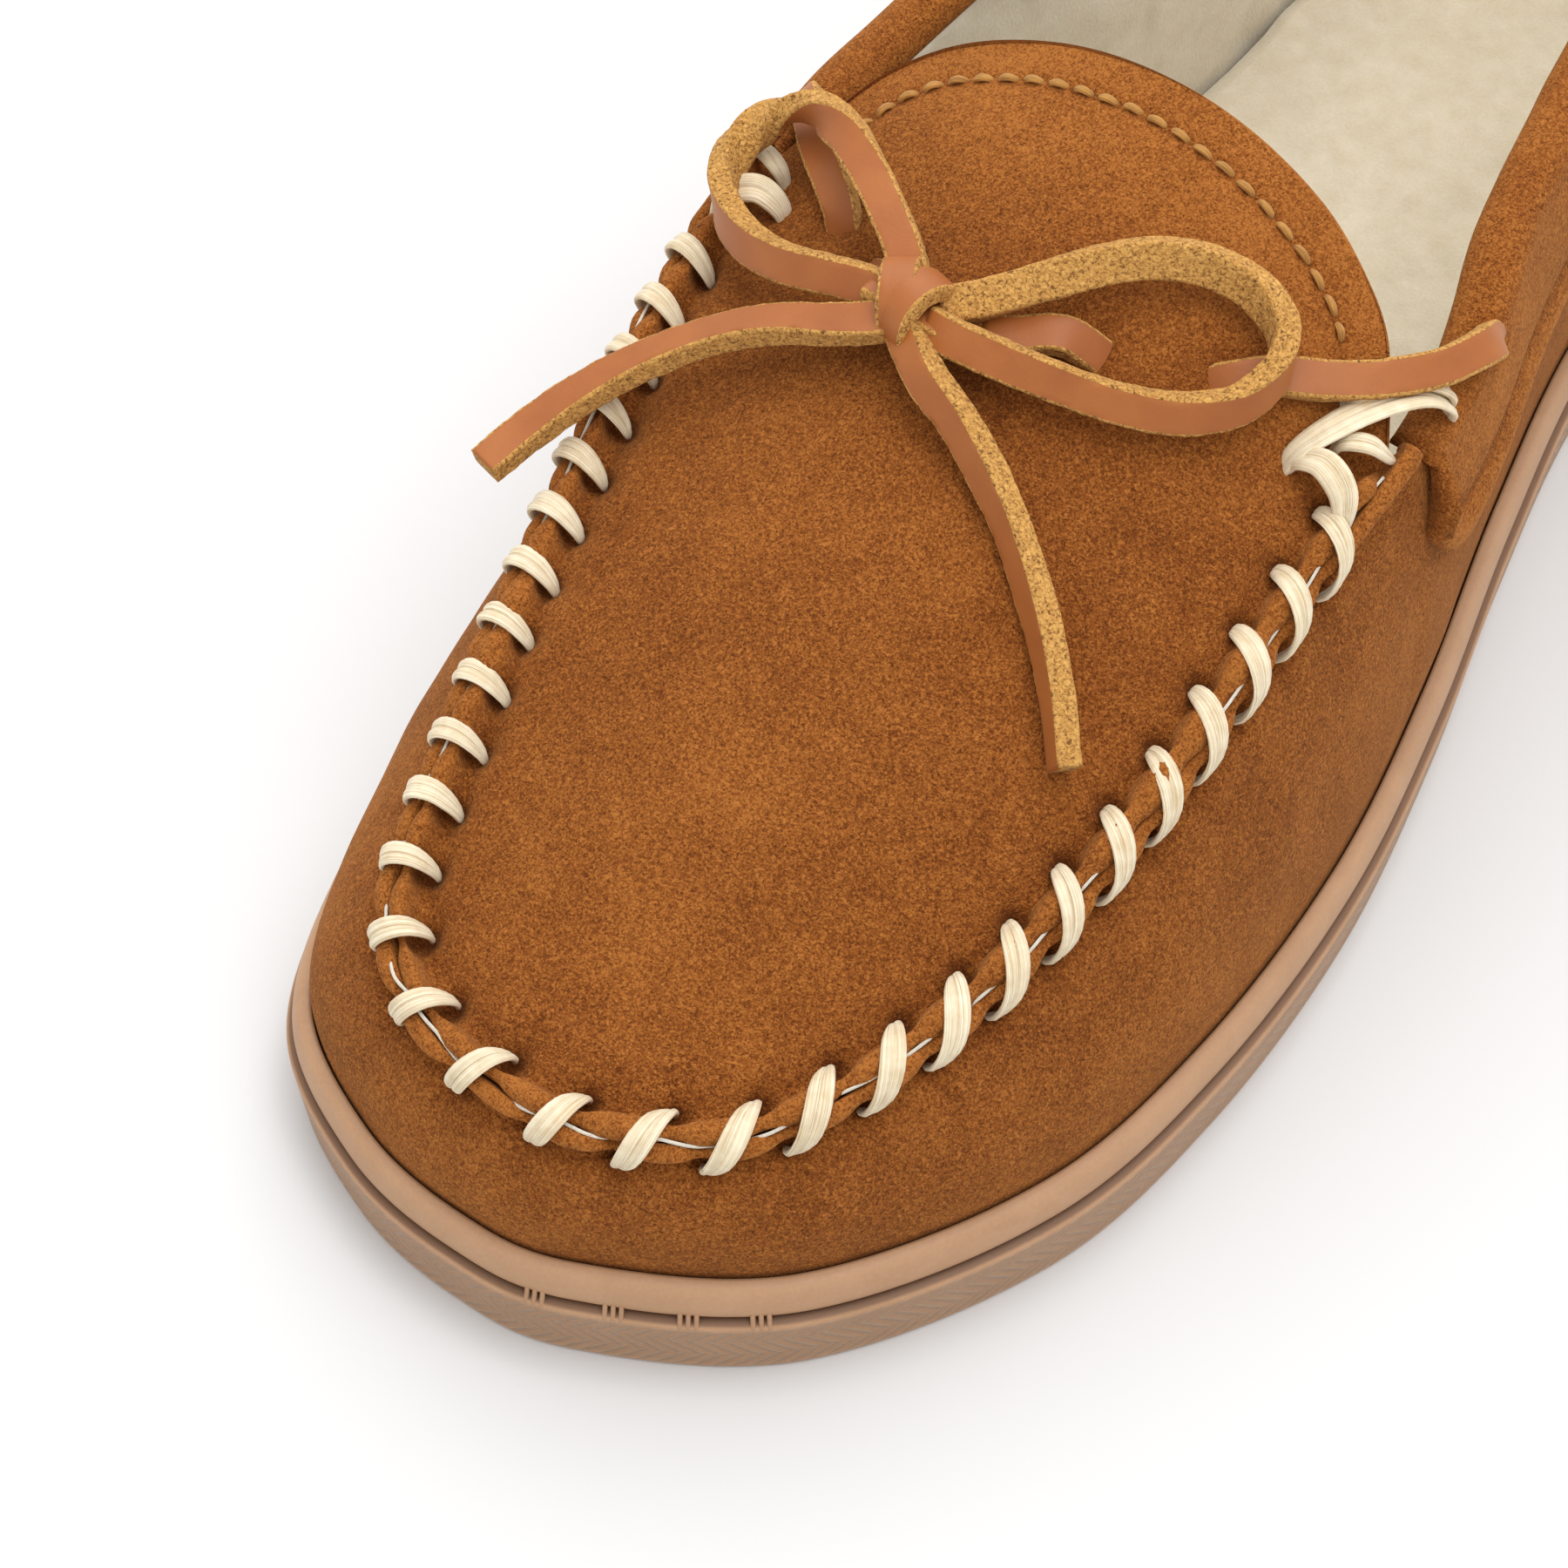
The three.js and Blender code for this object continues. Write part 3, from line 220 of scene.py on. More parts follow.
# ---------- the shoe's lines ----------
def spine_height(y):
    """Height of the forefoot's arch along its middle: a cubic through the spine's knots."""
    ky, kz = SPINE[:, 0], SPINE[:, 1]
    last = len(ky) - 1
    index = np.arange(last + 1)
    before, after = np.maximum(index - 1, 0), np.minimum(index + 1, last)
    slope = (kz[after] - kz[before]) / (ky[after] - ky[before])
    i = np.clip(np.searchsorted(ky, y, side="left") - 1, 0, last - 1)
    w = ky[i + 1] - ky[i]
    t = (y - ky[i]) / w
    t2, t3 = t * t, t * t * t
    ends = kz[i] * (2 * t3 - 3 * t2 + 1) + kz[i + 1] * (3 * t2 - 2 * t3)
    return ends + w * (slope[i] * (t3 - 2 * t2 + t) + slope[i + 1] * (t3 - t2))


def arch_height(x, y):
    """Arched top of the forefoot: spine height less ARCH (x - centre)^2."""
    return spine_height(y) - ARCH * (x - ARCH_CENTRE) ** 2


def sole_inset(u, d):
    """Sole outline moved in by d along its own normal, at station u."""
    p = around(STATIONS[:, :2], u)
    run = unit(around(STATIONS[:, :2], u + 0.02) - around(STATIONS[:, :2], u - 0.02))
    inward = np.stack([run[..., 1], -run[..., 0]], -1)
    return p + inward * np.asarray(d)[..., None]


def front(u):
    """1 where the suede wrap meets the apron and 0 where it is a top line."""
    w = np.mod(u, TURN)
    return smooth(SEAM_START - SEAM_FADE, SEAM_START, w) * (
        1 - smooth(SEAM_END, SEAM_END + SEAM_FADE, w)
    )


def top_edge(u):
    """Top edge of the wrap: on the arch in front, at the stations' own height behind."""
    e = around(STATIONS[:, 2:], u)
    z = lerp(e[..., 2], arch_height(e[..., 0], e[..., 1]), front(u))
    return np.concatenate([e[..., :2], z[..., None]], -1)


def section(u):
    """Everything needed at stations u: the top edge, how far out the wall's foot is, the
    outward direction, the slide along the shoe, and the ridge's two directions."""
    u = np.asarray(u, float)
    foot = sole_inset(u, LIP_WIDTH + CLEARANCE)
    top = top_edge(u)
    out = sole_inset(u, -1) - around(STATIONS[:, :2], u)
    away = foot - top[..., :2]
    reach = (away * out).sum(-1)
    f = front(u)
    lean = lerp(np.radians(-20), RIDGE_LEAN, f)
    out3 = np.concatenate([out, np.zeros(out.shape[:-1] + (1,))], -1)
    up = np.zeros_like(out3)
    up[..., 2] = 1
    sin, cos = np.sin(lean)[..., None], np.cos(lean)[..., None]
    return {
        "top": top,
        "reach": reach,
        "out": out3,
        "slide": away - reach[..., None] * out,
        "front": f,
        "lean": lean,
        "ridge": out3 * sin + up * cos,
        "side": out3 * cos - up * sin,
    }


def bezier(s, t):
    """The wall's outer line (outward distance, height) at shares t from the lip to the top,
    and its outward normal: a cubic Bezier that leaves the lip upright, bulges and leans in."""
    half = CLEARANCE / 2 + SUEDE
    end = np.stack([np.cos(s["lean"]) * half, s["top"][..., 2] - np.sin(s["lean"]) * half], -1)
    rise = end[..., 1] - SOLE_TOP
    bulge = lerp(2.2, 1.2, s["front"])
    a = np.stack([s["reach"], np.full_like(rise, SOLE_TOP)], -1)
    b = np.stack([s["reach"] + bulge, SOLE_TOP + 0.45 * rise], -1)
    c = np.stack([lerp(end[..., 0], s["reach"], 0.45) + bulge / 2, end[..., 1] - 0.16 * rise], -1)
    a, b, c, end = (v[:, None, :] for v in (a, b, c, end))
    t = np.broadcast_to(t, (len(rise), np.shape(t)[-1]))[..., None]
    k = 1 - t
    p = k**3 * a + 3 * t * k * k * b + 3 * t * t * k * c + t**3 * end
    run = unit(3 * k * k * (b - a) + 6 * t * k * (c - b) + 3 * t * t * (end - c))
    return p, np.stack([run[..., 1], -run[..., 0]], -1)


def wall_at(s, z):
    """Share t of the wall's line at heights z, by halving the interval twenty times."""
    low, high = np.zeros_like(z), np.ones_like(z)
    for _ in range(20):
        mid = (low + high) / 2
        below = bezier(s, mid)[0][..., 1] < z
        low, high = np.where(below, mid, low), np.where(below, high, mid)
    return (low + high) / 2


def placed(s, d, z):
    """Points of the sections at outward distance d and height z, in the shoe's frame."""
    down = np.clip((s["top"][:, None, 2] - z) / (s["top"][:, None, 2] - SOLE_TOP), 0, 1)
    xy = s["top"][:, None, :2] + s["out"][:, None, :2] * d[..., None]
    xy = xy + s["slide"][:, None] * down[..., None]
    return np.concatenate([xy, z[..., None]], -1)


def beside(u, q, e):
    """Points beside the whipped seam: q across it, outwards, and e up the ridge."""
    s = section(np.atleast_1d(u))
    return s["top"] + s["side"] * np.asarray(q)[..., None] + s["ridge"] * np.asarray(e)[..., None]


def along_seam(u, outer, toe, inner):
    """A value that differs along the outer side, round the toe and along the inner side."""
    return lerp(lerp(outer, toe, smooth(9.5, 12.5, u)), inner, smooth(13.5, 16, u))


def stitch_stations():
    """Stations of the holes in the apron's ridge, one stitch pitch after another."""
    u = np.linspace(SEAM_START + 0.3, SEAM_END - 0.3, 1200)
    p = beside(u, np.zeros_like(u), np.zeros_like(u))
    step = np.linalg.norm(np.diff(p, axis=0), axis=1)
    pitch = along_seam(u[1:], PITCH_OUTER, PITCH_TOE, PITCH_INNER)
    count = np.concatenate([[0], np.cumsum(step / pitch)])
    return np.interp(np.arange(int(count[-1]) + 1), count, u)


APRON_HOLES = stitch_stations()
WRAP_HOLES = lerp(
    APRON_HOLES[:-1], APRON_HOLES[1:], along_seam(APRON_HOLES[:-1], 0.9, 0.4, 0.25)
)


# ---------- meshes ----------
def lattice(p, closed_u=False, closed_v=False, first_pole=None, last_pole=None):
    """Vertices, quads and triangles of the grid p[u, v]. Rings are joined on along a closed
    direction. Open ends of closed rings, and the two poles, are closed with fans."""
    n, m = p.shape[:2]
    index = np.arange(n * m).reshape(n, m)
    rows = np.arange(n if closed_u else n - 1)
    cols = np.arange(m if closed_v else m - 1)
    i, j = np.meshgrid(rows, cols, indexing="ij")
    i1, j1 = (i + 1) % n, (j + 1) % m
    quads = np.stack([index[i, j], index[i1, j], index[i1, j1], index[i, j1]], -1).reshape(-1, 4)
    verts, tris = [p.reshape(-1, 3)], []

    def fan(loop, centre, flip):
        hub = sum(len(v) for v in verts)
        verts.append(np.reshape(centre, (1, 3)))
        ahead = np.roll(loop, -1)
        pair = (ahead, loop) if flip else (loop, ahead)
        tris.append(np.stack([np.full(len(loop), hub), *pair], -1))

    if closed_v and not closed_u:
        fan(index[0], p[0].mean(0), False)
        fan(index[-1], p[-1].mean(0), True)
    if first_pole is not None:
        fan(index[:, 0], first_pole, True)
    if last_pole is not None:
        fan(index[:, -1], last_pole, False)
    return np.concatenate(verts), quads, np.concatenate(tris) if tris else np.zeros((0, 3), int)


def volume_of(verts, quads, tris):
    """Signed volume inside the faces, which is positive when they face out."""
    corners = np.concatenate([quads[:, :3], quads[:, [0, 2, 3]], tris])
    a, b, c = (verts[corners[:, k]] for k in range(3))
    return (a * np.cross(b, c)).sum() / 6


def joined(parts):
    """Several (verts, quads, tris) bodies as one."""
    base, verts, quads, tris = 0, [], [], []
    for v, q, t in parts:
        verts.append(v)
        quads.append(q + base)
        tris.append(t + base)
        base += len(v)
    return np.concatenate(verts), np.concatenate(quads), np.concatenate(tris)


def faced_out(body):
    """The same closed body with its faces turned outwards."""
    verts, quads, tris = body
    if volume_of(verts, quads, tris) < 0:
        quads, tris = quads[:, ::-1], tris[:, ::-1]
    return verts, quads, tris


def new_piece(name, body, material, replaced=(), attributes=None):
    """Puts a body in millimetres into a mesh in metres, with its attributes at the vertices,
    and has it ride on the shoe in place of the frame's plain solids."""
    verts, quads, tris = body
    mesh = bpy.data.meshes.new(name)
    mesh.vertices.add(len(verts))
    mesh.vertices.foreach_set("co", (verts * MM).astype(np.float32).ravel())
    loops = np.concatenate([quads.ravel(), tris.ravel()]).astype(np.int32)
    mesh.loops.add(len(loops))
    mesh.loops.foreach_set("vertex_index", loops)
    sizes = np.concatenate([np.full(len(quads), 4), np.full(len(tris), 3)])
    starts = np.concatenate([[0], np.cumsum(sizes)[:-1]]).astype(np.int32)
    mesh.polygons.add(len(sizes))
    mesh.polygons.foreach_set("loop_start", starts)
    mesh.update(calc_edges=True)
    mesh.validate()
    mesh.polygons.foreach_set("use_smooth", np.ones(len(mesh.polygons), bool))
    for key, values in (attributes or {}).items():
        values = np.asarray(values, np.float32).ravel()
        padded = np.zeros(len(mesh.vertices), np.float32)
        padded[: len(values)] = values
        padded[len(values) :] = values[-1]
        layer = mesh.attributes.new(key, "FLOAT", "POINT")
        layer.data.foreach_set("value", padded)
    mesh.materials.append(material)
    piece = bpy.data.objects.new(name, mesh)
    bpy.context.scene.collection.objects.link(piece)
    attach(piece, "root")
    if replaced:
        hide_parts(*replaced)
    return piece


def grid_normals(p, closed_u=False, closed_v=False):
    """Unit normals of the grid p[u, v], from the cross product of its two central differences."""
    du = np.roll(p, -1, 0) - np.roll(p, 1, 0)
    dv = np.roll(p, -1, 1) - np.roll(p, 1, 1)
    if not closed_u:
        du[0], du[-1] = p[1] - p[0], p[-1] - p[-2]
    if not closed_v:
        dv[:, 0], dv[:, -1] = p[:, 1] - p[:, 0], p[:, -1] - p[:, -2]
    return unit(np.cross(du, dv))


def eased(p, first, last, rounds):
    """Rounds off the columns from first to last by averaging each with its two neighbours."""
    p = p.copy()
    for _ in range(rounds):
        inner = p[:, first:last]
        p[:, first:last] = inner / 2 + (p[:, first - 1 : last - 1] + p[:, first + 1 : last + 1]) / 4
    return p


def box_profile(width, thick, corner, per_side):
    """A rounded rectangle as (across, up) points in order, with 1 on its upper face, the grain
    side, 0.5 on its two cut edges and 0 underneath, the flesh side."""
    half_w, half_t = width / 2 - corner, thick / 2 - corner
    quarter = np.radians([12.0, 45.0, 78.0])
    points, skin = [], []
    share = np.linspace(0, 1, per_side)
    sides = [
        ((half_w, half_t), (-half_w, half_t), (0, corner), 1.0, 90),
        ((-half_w, half_t), (-half_w, -half_t), (-corner, 0), 0.5, 180),
        ((-half_w, -half_t), (half_w, -half_t), (0, -corner), 0.0, 270),
        ((half_w, -half_t), (half_w, half_t), (corner, 0), 0.5, 0),
    ]
    for a, b, shift, kind, angle in sides:
        line = lerp(np.array(a), np.array(b), share[:, None]) + shift
        turn = np.radians(angle) + quarter
        bend = np.array(b) + corner * np.stack([np.cos(turn), np.sin(turn)], -1)
        points += [line, bend]
        skin += [np.full(per_side, kind), np.full(len(quarter), 0.5)]
    return np.concatenate(points), np.concatenate(skin)


def frames_along(rows, reference=None):
    """Tangent, grain normal and across directions along a route of x, y, z, roll. The normal is
    the reference direction, straight up if none is given, squared to the route and then turned
    round it by the roll in degrees."""
    tangent = unit(np.gradient(rows[:, :3], axis=0))
    if reference is None:
        reference = np.broadcast_to([0.0, 0.0, 1.0], tangent.shape)
    up = unit(reference - tangent * (tangent * reference).sum(-1, keepdims=True))
    side = np.cross(tangent, up)
    roll = np.radians(rows[:, 3:4])
    normal = np.cos(roll) * up + np.sin(roll) * side
    return normal, np.cross(normal, tangent)


def thong_body(rows, width, thick, seed, reference=None):
    """A leather thong carried along its rows of x, y, z, roll: a rounded rectangle across them,
    with the flesh side and cut edges roughened by two sizes of random lumps. Also gives the
    share of grain side and the run along it at each vertex."""
    normal, across = frames_along(rows, reference)
    profile, skin = box_profile(width, thick, 0.42, 7)
    sway = 1 + 0.035 * lumps(rows[:, :3] + seed, 6, seed)
    ring = profile[None] * sway[:, None, None]
    p = rows[:, None, :3] + across[:, None] * ring[..., :1] + normal[:, None] * ring[..., 1:]
    rough = 1 - skin[None] ** 2
    height = 0.1 * lumps(p, 0.7, seed) + 0.07 * lumps(p, 1.9, seed + 1)
    p = p + unit(p - rows[:, None, :3]) * (height * rough)[..., None]
    run = np.cumsum(np.r_[0, np.linalg.norm(np.diff(rows[:, :3], axis=0), axis=1)])
    skin = np.broadcast_to(skin, p.shape[:2]).ravel()
    along = np.broadcast_to(run[:, None], p.shape[:2]).ravel()
    body = faced_out(lattice(p, closed_v=True))
    return body, {"skin": np.r_[skin, 0.5, 0.5], "along": np.r_[along, 0, run[-1]]}


def strand_body(points, normals, width, thick, taper, sides=12):
    """A flat waxed strand: an ellipse carried along points, its flat side square to the
    normals, narrowing towards both ends to the given share. Also gives the place across and
    the share along at each vertex."""
    tangent = unit(np.gradient(points, axis=0))
    normal = unit(normals - tangent * (tangent * normals).sum(-1, keepdims=True))
    across = np.cross(normal, tangent)
    share = np.linspace(0, 1, len(points))
    swell = lerp(taper, 1, np.sin(np.pi * share) ** 0.6)[:, None]
    turn = np.linspace(0, 2 * np.pi, sides, endpoint=False)
    a = swell * width / 2 * np.cos(turn)
    b = lerp(0.75, 1, swell) * thick / 2 * np.sin(turn)
    p = points[:, None] + across[:, None] * a[..., None] + normal[:, None] * b[..., None]
    place = np.broadcast_to(np.cos(turn), a.shape).ravel()
    along = np.broadcast_to(share[:, None], a.shape).ravel()
    body = faced_out(lattice(p, closed_v=True))
    return body, {"across": np.r_[place, 0, 0], "along": np.r_[along, 0, 1]}


def stacked(made):
    """Several (body, attributes) pairs as one pair."""
    keys = made[0][1].keys()
    return joined([b for b, _ in made]), {k: np.concatenate([m[k] for _, m in made]) for k in keys}


# ---------- materials ----------
def linear(red, green, blue):
    """A colour given as 0 to 255 display values, in the linear values that shaders take."""
    c = np.array([red, green, blue]) / 255
    low, high = c / 12.92, ((c + 0.055) / 1.055) ** 2.4
    return tuple(np.where(c <= 0.04045, low, high)) + (1.0,)


class Finish:
    """One material, with short calls for its nodes. Lengths in its patterns are millimetres."""

    def __init__(self, name, roughness, specular=0.3, sheen=0.0, sheen_tint=(1, 1, 1, 1)):
        self.material = bpy.data.materials.new("fine_" + name)
        self.material.use_nodes = True
        self.tree = self.material.node_tree
        self.shader = self.tree.nodes["Principled BSDF"]
        values = {
            "Roughness": roughness,
            "Specular IOR Level": specular,
            "Sheen Weight": sheen,
            "Sheen Roughness": 0.45,
            "Sheen Tint": sheen_tint,
        }
        for key, value in values.items():
            self.shader.inputs[key].default_value = value
        place = self.node("ShaderNodeTexCoord").outputs["Object"]
        self.place = self.node(
            "ShaderNodeMapping", {"Vector": place, "Scale": (1000, 1000, 1000)}
        ).outputs[0]

    def node(self, kind, inputs=None, **settings):
        """A node with its settings, and each input set to a value or linked to an output."""
        made = self.tree.nodes.new(kind)
        for key, value in settings.items():
            setattr(made, key, value)
        for key, value in (inputs or {}).items():
            if isinstance(value, bpy.types.NodeSocket):
                self.tree.links.new(value, made.inputs[key])
            else:
                made.inputs[key].default_value = value
        return made

    def noise(self, size, detail=2.0, place=None, distortion=0.0):
        """Noise from 0 to 1 with lumps of the given size in millimetres."""
        inputs = {"Vector": place or self.place, "Scale": 1 / size, "Detail": detail}
        inputs["Distortion"] = distortion
        return self.node("ShaderNodeTexNoise", inputs).outputs[0]

    def sums(self, kind, a, b, clamp=False):
        """One sum of two values or outputs."""
        made = self.node("ShaderNodeMath", {0: a, 1: b}, operation=kind, use_clamp=clamp)
        return made.outputs[0]

    def weighed(self, *pairs):
        """The sum of each output times its weight."""
        total = None
        for value, weight in pairs:
            term = self.sums("MULTIPLY", value, weight)
            total = term if total is None else self.sums("ADD", total, term)
        return total

    def mark(self, name):
        """The piece's own attribute of that name."""
        return self.node("ShaderNodeAttribute", attribute_name=name).outputs["Fac"]

    def ramp(self, value, *stops):
        """Colours at places from 0 to 1, eased between."""
        made = self.node("ShaderNodeValToRGB", {"Fac": value})
        band = made.color_ramp
        while len(band.elements) < len(stops):
            band.elements.new(0.5)
        for element, (place, colour) in zip(band.elements, stops):
            element.position = place
            element.color = colour
        return made.outputs["Color"]

    def mixed(self, share, a, b):
        """Colour a at share 0 and b at 1."""
        made = self.node("ShaderNodeMix", {0: share, 6: a, 7: b}, data_type="RGBA")
        return made.outputs[2]

    def bumps(self, height, depth, strength=1.0, under=None):
        """A normal from the height, where a height of 1 stands depth millimetres proud."""
        inputs = {"Height": height, "Distance": depth * MM, "Strength": strength}
        if under is not None:
            inputs["Normal"] = under
        return self.node("ShaderNodeBump", inputs).outputs[0]

    def set(self, **inputs):
        """Links outputs to the shader, and gives the material back."""
        for key, output in inputs.items():
            self.tree.links.new(output, self.shader.inputs[key.replace("_", " ")])
        return self.material


def suede_finish(colours):
    """Suede: three sizes of mottling and a fine nap of two colours, lightened and darkened by the
    piece's painted light and shade, with a raised nap and a warm sheen."""
    f = Finish("suede", 0.92, 0.12, 0.2, linear(255, 190, 120))
    patches, clouds = f.noise(30, 2), f.noise(6, 3, distortion=0.6)
    nap, specks = f.noise(0.48, 2, distortion=1.2), f.noise(0.28, 1, distortion=0.8)
    shade = f.weighed((patches, 0.4), (clouds, 0.3), (nap, 1.1), (specks, 1.1))
    # adds the piece's painted highlights and painted shade to the nap's mottling
    shade = f.sums("ADD", f.sums("SUBTRACT", shade, 0.95), f.weighed((f.mark("painted_light_and_shade"), 0.3)))
    colour = f.ramp(
        shade,
        (0.18, (*colours.suede_dark, 1)),
        (0.5, (*colours.suede, 1)),
        (0.85, (*colours.suede_light, 1)),
    )
    height = f.weighed((nap, 1.0), (specks, 0.7), (clouds, 0.6))
    return f.set(Base_Color=colour, Normal=f.bumps(height, 0.28, 0.8))


def pile_finish(colours):
    """Woolly pile: cream tips, turning to a warmer painted shade towards the roots by the piece's
    depth, with soft clumps.
    """
    f = Finish("pile", 0.95, 0.1, 0.5, linear(255, 250, 238))
    f.shader.inputs["Subsurface Weight"].default_value = 0.7
    f.shader.inputs["Subsurface Radius"].default_value = (1.0, 0.85, 0.7)
    f.shader.inputs["Subsurface Scale"].default_value = 3 * MM
    clumps, fibres = f.noise(3.2, 3), f.noise(0.4, 2)
    shade = f.weighed((f.mark("depth"), 0.3), (clumps, 0.6), (fibres, 0.3))
    colour = f.ramp(
        f.sums("SUBTRACT", shade, 0.15),
        (0.1, (*colours.pile, 1)),
        (0.9, (*colours.pile_deep, 1)),
    )
    return f.set(Base_Color=colour, Normal=f.bumps(f.weighed((fibres, 1), (clumps, 1)), 0.3, 0.5))


def gum_finish(colours):
    """Gum rubber: faint flow marks, painted shade in the groove under the lip, and a wall of fine
    raised chevrons with painted highlights on their ridges and painted shade between them.
    A chevron is a ridge of fract(run + zigzag(height)), where run counts ribs."""
    f = Finish("gum_rubber", 0.5, 0.35)
    flow, grain = f.noise(9, 3, distortion=1.2), f.noise(0.5, 2)
    shade = f.weighed((flow, 0.6), (grain, 0.4))
    colour = f.ramp(shade, (0.3, (*colours.gum_shade, 1)), (0.7, (*colours.gum, 1)))
    height = f.node("ShaderNodeSeparateXYZ", {0: f.place}).outputs[2]
    zigzag = f.sums("PINGPONG", f.sums("SUBTRACT", height, 0.6), 3.3)
    phase = f.sums("ADD", f.mark("run"), f.sums("MULTIPLY", zigzag, 0.5))
    ridge = f.sums("PINGPONG", phase, 0.5)
    ridge = f.sums("POWER", f.sums("MULTIPLY", ridge, 2.0), 2.2)
    ridge = f.sums("MULTIPLY", ridge, f.mark("ribbed"))
    # Painted highlight on the chevrons' ridge tops.
    colour = f.mixed(f.sums("MULTIPLY", ridge, 0.7, True), colour, linear(206, 176, 148))
    # Painted shade in the valleys between the ribs.
    low = f.sums("MULTIPLY", f.sums("SUBTRACT", f.mark("ribbed"), ridge, True), 0.3)
    colour = f.mixed(low, colour, linear(96, 66, 44))
    # Painted shade in the groove under the lip, and a little on the bars across it.
    colour = f.mixed(f.sums("MULTIPLY", f.mark("painted_groove_shade"), 0.9), colour, linear(78, 46, 28))
    rough = f.bumps(grain, 0.05, 0.6)
    return f.set(Base_Color=colour, Normal=f.bumps(ridge, 0.55, 1.0, rough))


def thong_finish(colours):
    """Leather thong: a smooth fine-pored tan grain side, and rough flesh and cut edges of
    golden fibres with dark gaps, by the piece's skin value."""
    f = Finish("thong_leather", 0.5, 0.4, 0.08, linear(255, 210, 160))
    is_grain = f.sums("GREATER_THAN", f.mark("skin"), 0.75)
    pores, drift = f.noise(0.35, 2), f.noise(7, 3)
    grain = f.ramp(
        f.weighed((drift, 0.85), (pores, 0.15)),
        (0.3, (*colours.grain_dark, 1)),
        (0.7, (*colours.grain, 1)),
    )
    fibres = f.noise(0.42, 3, distortion=0.8)
    flesh = f.ramp(
        f.weighed((fibres, 1.0)),
        (0.3, linear(104, 66, 28)),
        (0.46, (*colours.flesh, 1)),
        (0.66, linear(212, 162, 88)),
    )
    colour = f.mixed(is_grain, flesh, grain)
    rough = f.sums("SUBTRACT", 0.92, f.sums("MULTIPLY", is_grain, 0.44))
    raw = f.sums("SUBTRACT", 1, is_grain)
    rough_side = f.sums("MULTIPLY", f.sums("MULTIPLY", fibres, raw), 4)
    height = f.sums("ADD", rough_side, f.sums("MULTIPLY", pores, 0.25))
    return f.set(Base_Color=colour, Roughness=rough, Normal=f.bumps(height, 0.12, 0.9))


def thread_finish(name, pale, deep, streak=7.0):
    """Waxed thread: long fine fibres that run along it, from its own places across and along."""
    f = Finish(name, 0.55, 0.35, 0.12)
    across = f.sums("MULTIPLY", f.mark("across"), streak)
    place = f.node("ShaderNodeCombineXYZ", {0: across, 1: f.mark("along"), 2: f.mark("lot")})
    fibres = f.noise(0.9, 3, place.outputs[0])
    wax = f.noise(1.6, 2)
    colour = f.ramp(f.weighed((fibres, 0.75), (wax, 0.25)), (0.32, deep), (0.62, pale))
    return f.set(Base_Color=colour, Normal=f.bumps(fibres, 0.22, 0.8))


def plain_fibre_finish(name, pale, deep, size):
    """Felted or foamed sheet: two sizes of noise in two colours, and a rough skin."""
    f = Finish(name, 0.9, 0.2)
    coarse, fine = f.noise(size * 6, 3), f.noise(size, 2)
    shade = f.weighed((coarse, 0.5), (fine, 0.5))
    return f.set(Base_Color=f.ramp(shade, (0.3, deep), (0.7, pale)), Normal=f.bumps(fine, 0.15))


# ---------- sole ----------
RIB_PITCH = 2.1
GROOVE_BARS = [11.17, 11.46, 11.78, 12.22]  # stations of the bars moulded across the groove


def outline_run(u):
    """Length along the sole's outline from the first station to each one."""
    p = around(STATIONS[:, :2], u)
    return np.concatenate([[0], np.cumsum(np.linalg.norm(np.diff(p, axis=0), axis=1))])


def even_stations(count, knots=STATIONS[:, :2]):
    """Stations at equal lengths round the shoe."""
    fine = np.linspace(0, TURN, 6001)
    p = around(knots, fine)
    run = np.concatenate([[0], np.cumsum(np.linalg.norm(np.diff(p, axis=0), axis=1))])
    return np.interp(np.linspace(0, run[-1], count, endpoint=False), run, fine)


